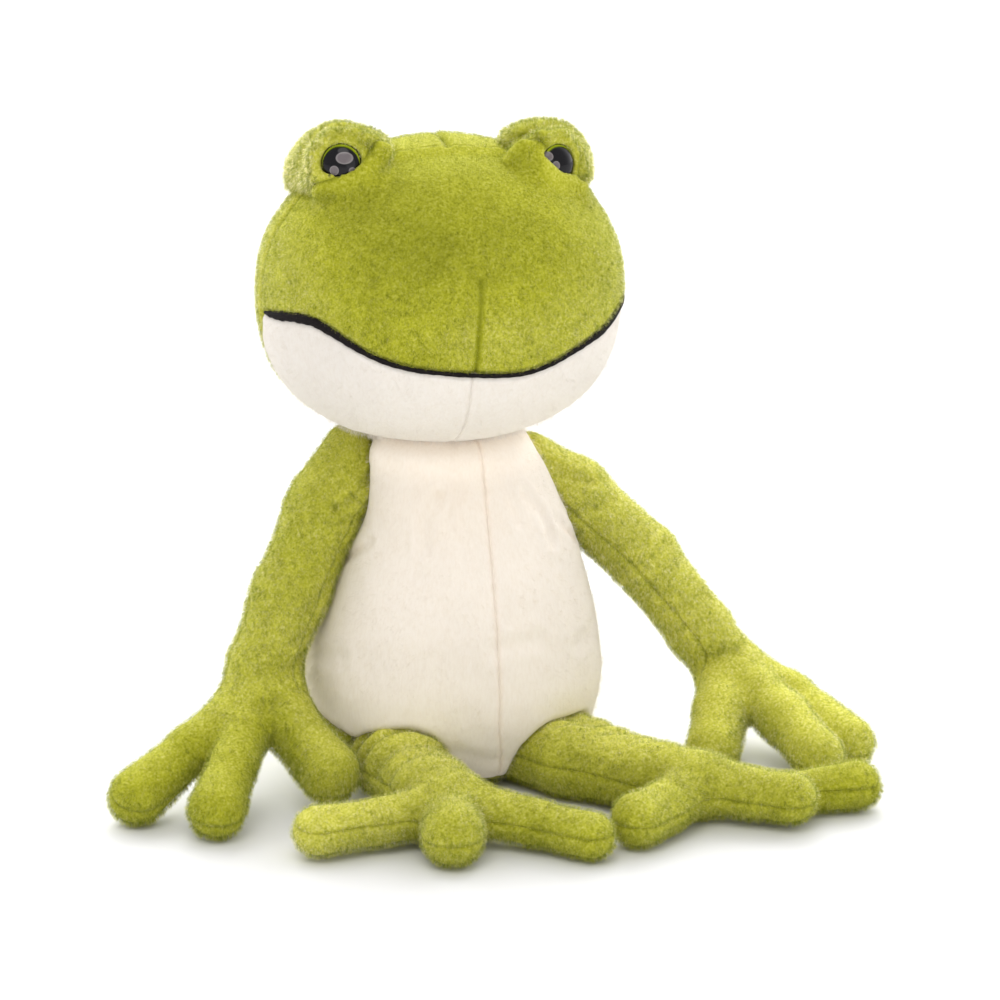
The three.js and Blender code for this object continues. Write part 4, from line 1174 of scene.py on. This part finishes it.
PARTS = {"arm": ("outer_panel", "inner_panel"), "leg": ("top_panel", "sole_panel")}
for li, name in enumerate(LIMBS):
    fn = lambda p, name=name: limb(p, name)
    v, t = grown(fn, *BOX[name], RES)
    kind = name[:3]
    fs = f_arm if kind == "arm" else f_leg
    v, t = split(v, t, fs, RES)
    c = v[t].mean(1)
    label = np.where(fs(c) < 0, 0, 1)
    n = normals(v, t)
    pts, pairs = seam_points(v, t, label)
    sink = press(v, n, pts, 0.42, 0.8, 0.3, 5.0, 40 + li)
    sink += 0.45 * noise(v / 13.0, 50 + li) + 0.25 * noise(v / 6.0, 60 + li) + 0.10 * noise(v / 3.0, 70 + li)
    for line, depth, width in LIMB_FOLDS[name]:
        sink += press(v, n, project(fn, dense(line), 3), depth, width, shoulder=0.45)
    gap_all = nearest(pts, v, 5.0)[0]
    sink = sink * (0.15 + 0.85 * step(v[:, 2], 0.4, 2.5))
    v = v + sink[:, None] * n
    v[:, 2] = np.maximum(v[:, 2], 0.1)
    rn = normals(v, t)
    seam_dark = 0.5 * np.exp(-(gap_all / 0.5) ** 2) * (0.55 + 0.45 * np.sin((v[:, 0] + v[:, 1] + v[:, 2]) * 2.4))
    for i, part in enumerate(PARTS[kind]):
        node = f"{name}_{part}"
        o = panel("skin_" + node, v, t, rn, label == i, GREEN, seam_dark, [node], short=0.65 + 0.35 * step(gap_all, 0.2, 1.8))
        o.data.materials.append(GREEN_PILE)
        made[node] = (o, name)

# ---------------------------------------------------------------- pile, padding and what each piece moves with
BEND = {"leg_right": dict(start=(-0.026, -0.015, 0.012), end=(-0.027, -0.046, 0.012)),
        "leg_left": dict(start=(0.016, -0.014, 0.012), end=(0.031, -0.045, 0.012)),
        "arm_right": dict(start=(-0.027, 0.002, 0.0925), end=(-0.0432, -0.002, 0.077)),
        "arm_left": dict(start=(0.026, 0.002, 0.092), end=(0.0424, 0.0005, 0.077))}
DENSITY = 0.75      # guide fibres to a square millimetre
for k, (node, (o, body)) in enumerate(made.items()):
    cream = o.data.materials[0] is CREAM
    mound = node.startswith("eye_mound")
    length = 1.95 if mound else 0.75 if body == "head" and not cream else 1.0 if cream else 0.95
    lean = (0, 0, -0.45)
    if body.startswith("arm"):
        lean = (-0.2 if "right" in body else 0.2, -0.15, -0.6)
    elif body.startswith("leg"):
        lean = (0, -0.6, -0.12)
    elif mound:
        lean = (0, 0.15, -0.5)
    if cream:
        grow_pile(o, o["area"] * DENSITY * 0.6, length, 2, lean=lean, rand=0.38, width=0.03, children=5, spread=1.0, seed=100 + k)
    elif mound:
        grow_pile(o, o["area"] * DENSITY * 2.8, length, 2, lean=lean, rand=0.20, width=0.042, children=9, spread=0.8, seed=100 + k, clump=0.0)
    else:
        grow_pile(o, o["area"] * DENSITY * (3.0 if body == "head" else 2.7), length, 2, lean=lean, rand=0.25, width=0.044, children=6, spread=0.9,
                  seed=100 + k, clump=0.0)
    if body == "head" and ("chin" in node or "back" in node):
        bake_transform(o)
    elif body.startswith("arm"):
        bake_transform(o)
    elif body.startswith("leg"):
        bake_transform(o)
    else:
        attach(o, body)


def filling(node, fn, lo, hi, material, slot, body, h=3.0, place=None):
    """What fills a skin: the skin's own field, one cloth thickness and a little more inside it."""
    v, t = grown(fn, lo, hi, h)
    n = normals(v, t)
    v = v + (0.5 * noise(v / 6.0, 91) - 0.35)[:, None] * n
    v = v if place is None else place(v)
    o = put_object("fill_" + node, v, t, material)
    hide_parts(node)
    if body in BEND:
        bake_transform(o)
    else:
        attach(o, body)


DEEP = CLOTH + 0.7
# hollowed round the neck, so that the top of the body has room as the head nods
filling("head_stuffing", lambda q: smax(head(q) + DEEP, 24.5 - np.linalg.norm(q - np.array([3.0, 1.2, -48.5]), axis=1), 2), (-60, -53, -48), (60, 53, 55), FILL, "fibre_fill", "head", place=to_row)
filling("torso_stuffing", lambda p: np.maximum(torso(p) + DEEP, 33.2 - p[:, 2]), (-53, -49, -2), (50, 48, 109), FILL, "fibre_fill", "torso")
filling("pellet_pouch", lambda p: smax(torso(p) + DEEP, p[:, 2] - 31.6, 3), (-53, -49, -2), (50, 48, 40), POUCH, "pellet_fill", "torso")
for name in LIMBS:
    filling(name + "_stuffing", lambda p, name=name: limb(p, name) + DEEP, *BOX[name], FILL, "fibre_fill", name, h=2.4)

INNER = {"neck_seam_thread": THREAD, "shoulder_seam_thread_right": THREAD, "shoulder_seam_thread_left": THREAD,
         "hip_seam_thread_right": THREAD, "hip_seam_thread_left": THREAD, "eye_lock_washer_right": WASHER, "eye_lock_washer_left": WASHER}
for node, mat in INNER.items():
    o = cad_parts[node]
    o.data.materials.clear()
    o.data.materials.append(mat)

# ---------------------------------------------------------------- floor, light
fm, _, fn_, fl, fb = new_material("floor")
fb.inputs["Base Color"].default_value = (0.78, 0.78, 0.785, 1)
fb.inputs["Roughness"].default_value = 0.75
fb.inputs["Specular IOR Level"].default_value = 0.2
R = 6.0
me = bpy.data.meshes.new("floor")
me.from_pydata([(-R, -R, -0.0001), (R, -R, -0.0001), (R, R, -0.0001), (-R, R, -0.0001)], [], [(0, 1, 2, 3)])
floor = bpy.data.objects.new("floor", me)
floor.data.materials.append(fm)
bpy.context.scene.collection.objects.link(floor)

world = bpy.data.worlds.new("studio")
world.use_nodes = True
wn, wl = world.node_tree.nodes, world.node_tree.links
around_ = wn.new("ShaderNodeTexCoord")      # a white wall behind and above, a dimmer room in front
apart = wn.new("ShaderNodeSeparateXYZ")
turn = wn.new("ShaderNodeMapping")
turn.vector_type = "POINT"
turn.inputs["Rotation"].default_value = (0, 0, math.radians(18))
wl.new(around_.outputs["Generated"], turn.inputs["Vector"])
wl.new(turn.outputs["Vector"], apart.inputs[0])
depth_ = wn.new("ShaderNodeMapRange")
depth_.inputs["From Min"].default_value, depth_.inputs["From Max"].default_value = -0.12, 0.72
depth_.interpolation_type = "SMOOTHSTEP"
wl.new(apart.outputs["Y"], depth_.inputs["Value"])
wm = wn.new("ShaderNodeMix")
wm.data_type = "RGBA"
wm.inputs[6].default_value, wm.inputs[7].default_value = (0.68, 0.68, 0.685, 1), (3.0, 3.0, 3.0, 1)
wl.new(depth_.outputs["Result"], wm.inputs[0])
wl.new(wm.outputs[2], wn["Background"].inputs["Color"])
wn["Background"].inputs["Strength"].default_value = 1.02
bpy.context.scene.world = world


def softbox(name, at, size, power, colour=(1, 1, 1), to=(0, 0, 0.09)):
    d = bpy.data.lights.new(name, "AREA")
    d.shape, d.size, d.energy, d.color = "DISK", size, power, colour
    o = bpy.data.objects.new(name, d)
    o.location = at
    o.rotation_mode = "QUATERNION"
    o.rotation_quaternion = (Vector(to) - Vector(at)).to_track_quat("-Z", "Y")
    bpy.context.scene.collection.objects.link(o)
    return o


softbox("key", (-0.6, -1.3, 2.2), 1.6, 18.0, (1.0, 0.99, 0.97))
softbox("fill", (0.1, -1.5, 0.4), 1.1, 3.0)
softbox("wall", (0.9, 2.6, 2.4), 2.4, 38.0, to=(0.8, 2.2, 0.0))

sc = bpy.context.scene
sc.view_settings.view_transform = "Standard"
sc.view_settings.look = "None"
sc.cycles_curves.shape = "RIBBONS"
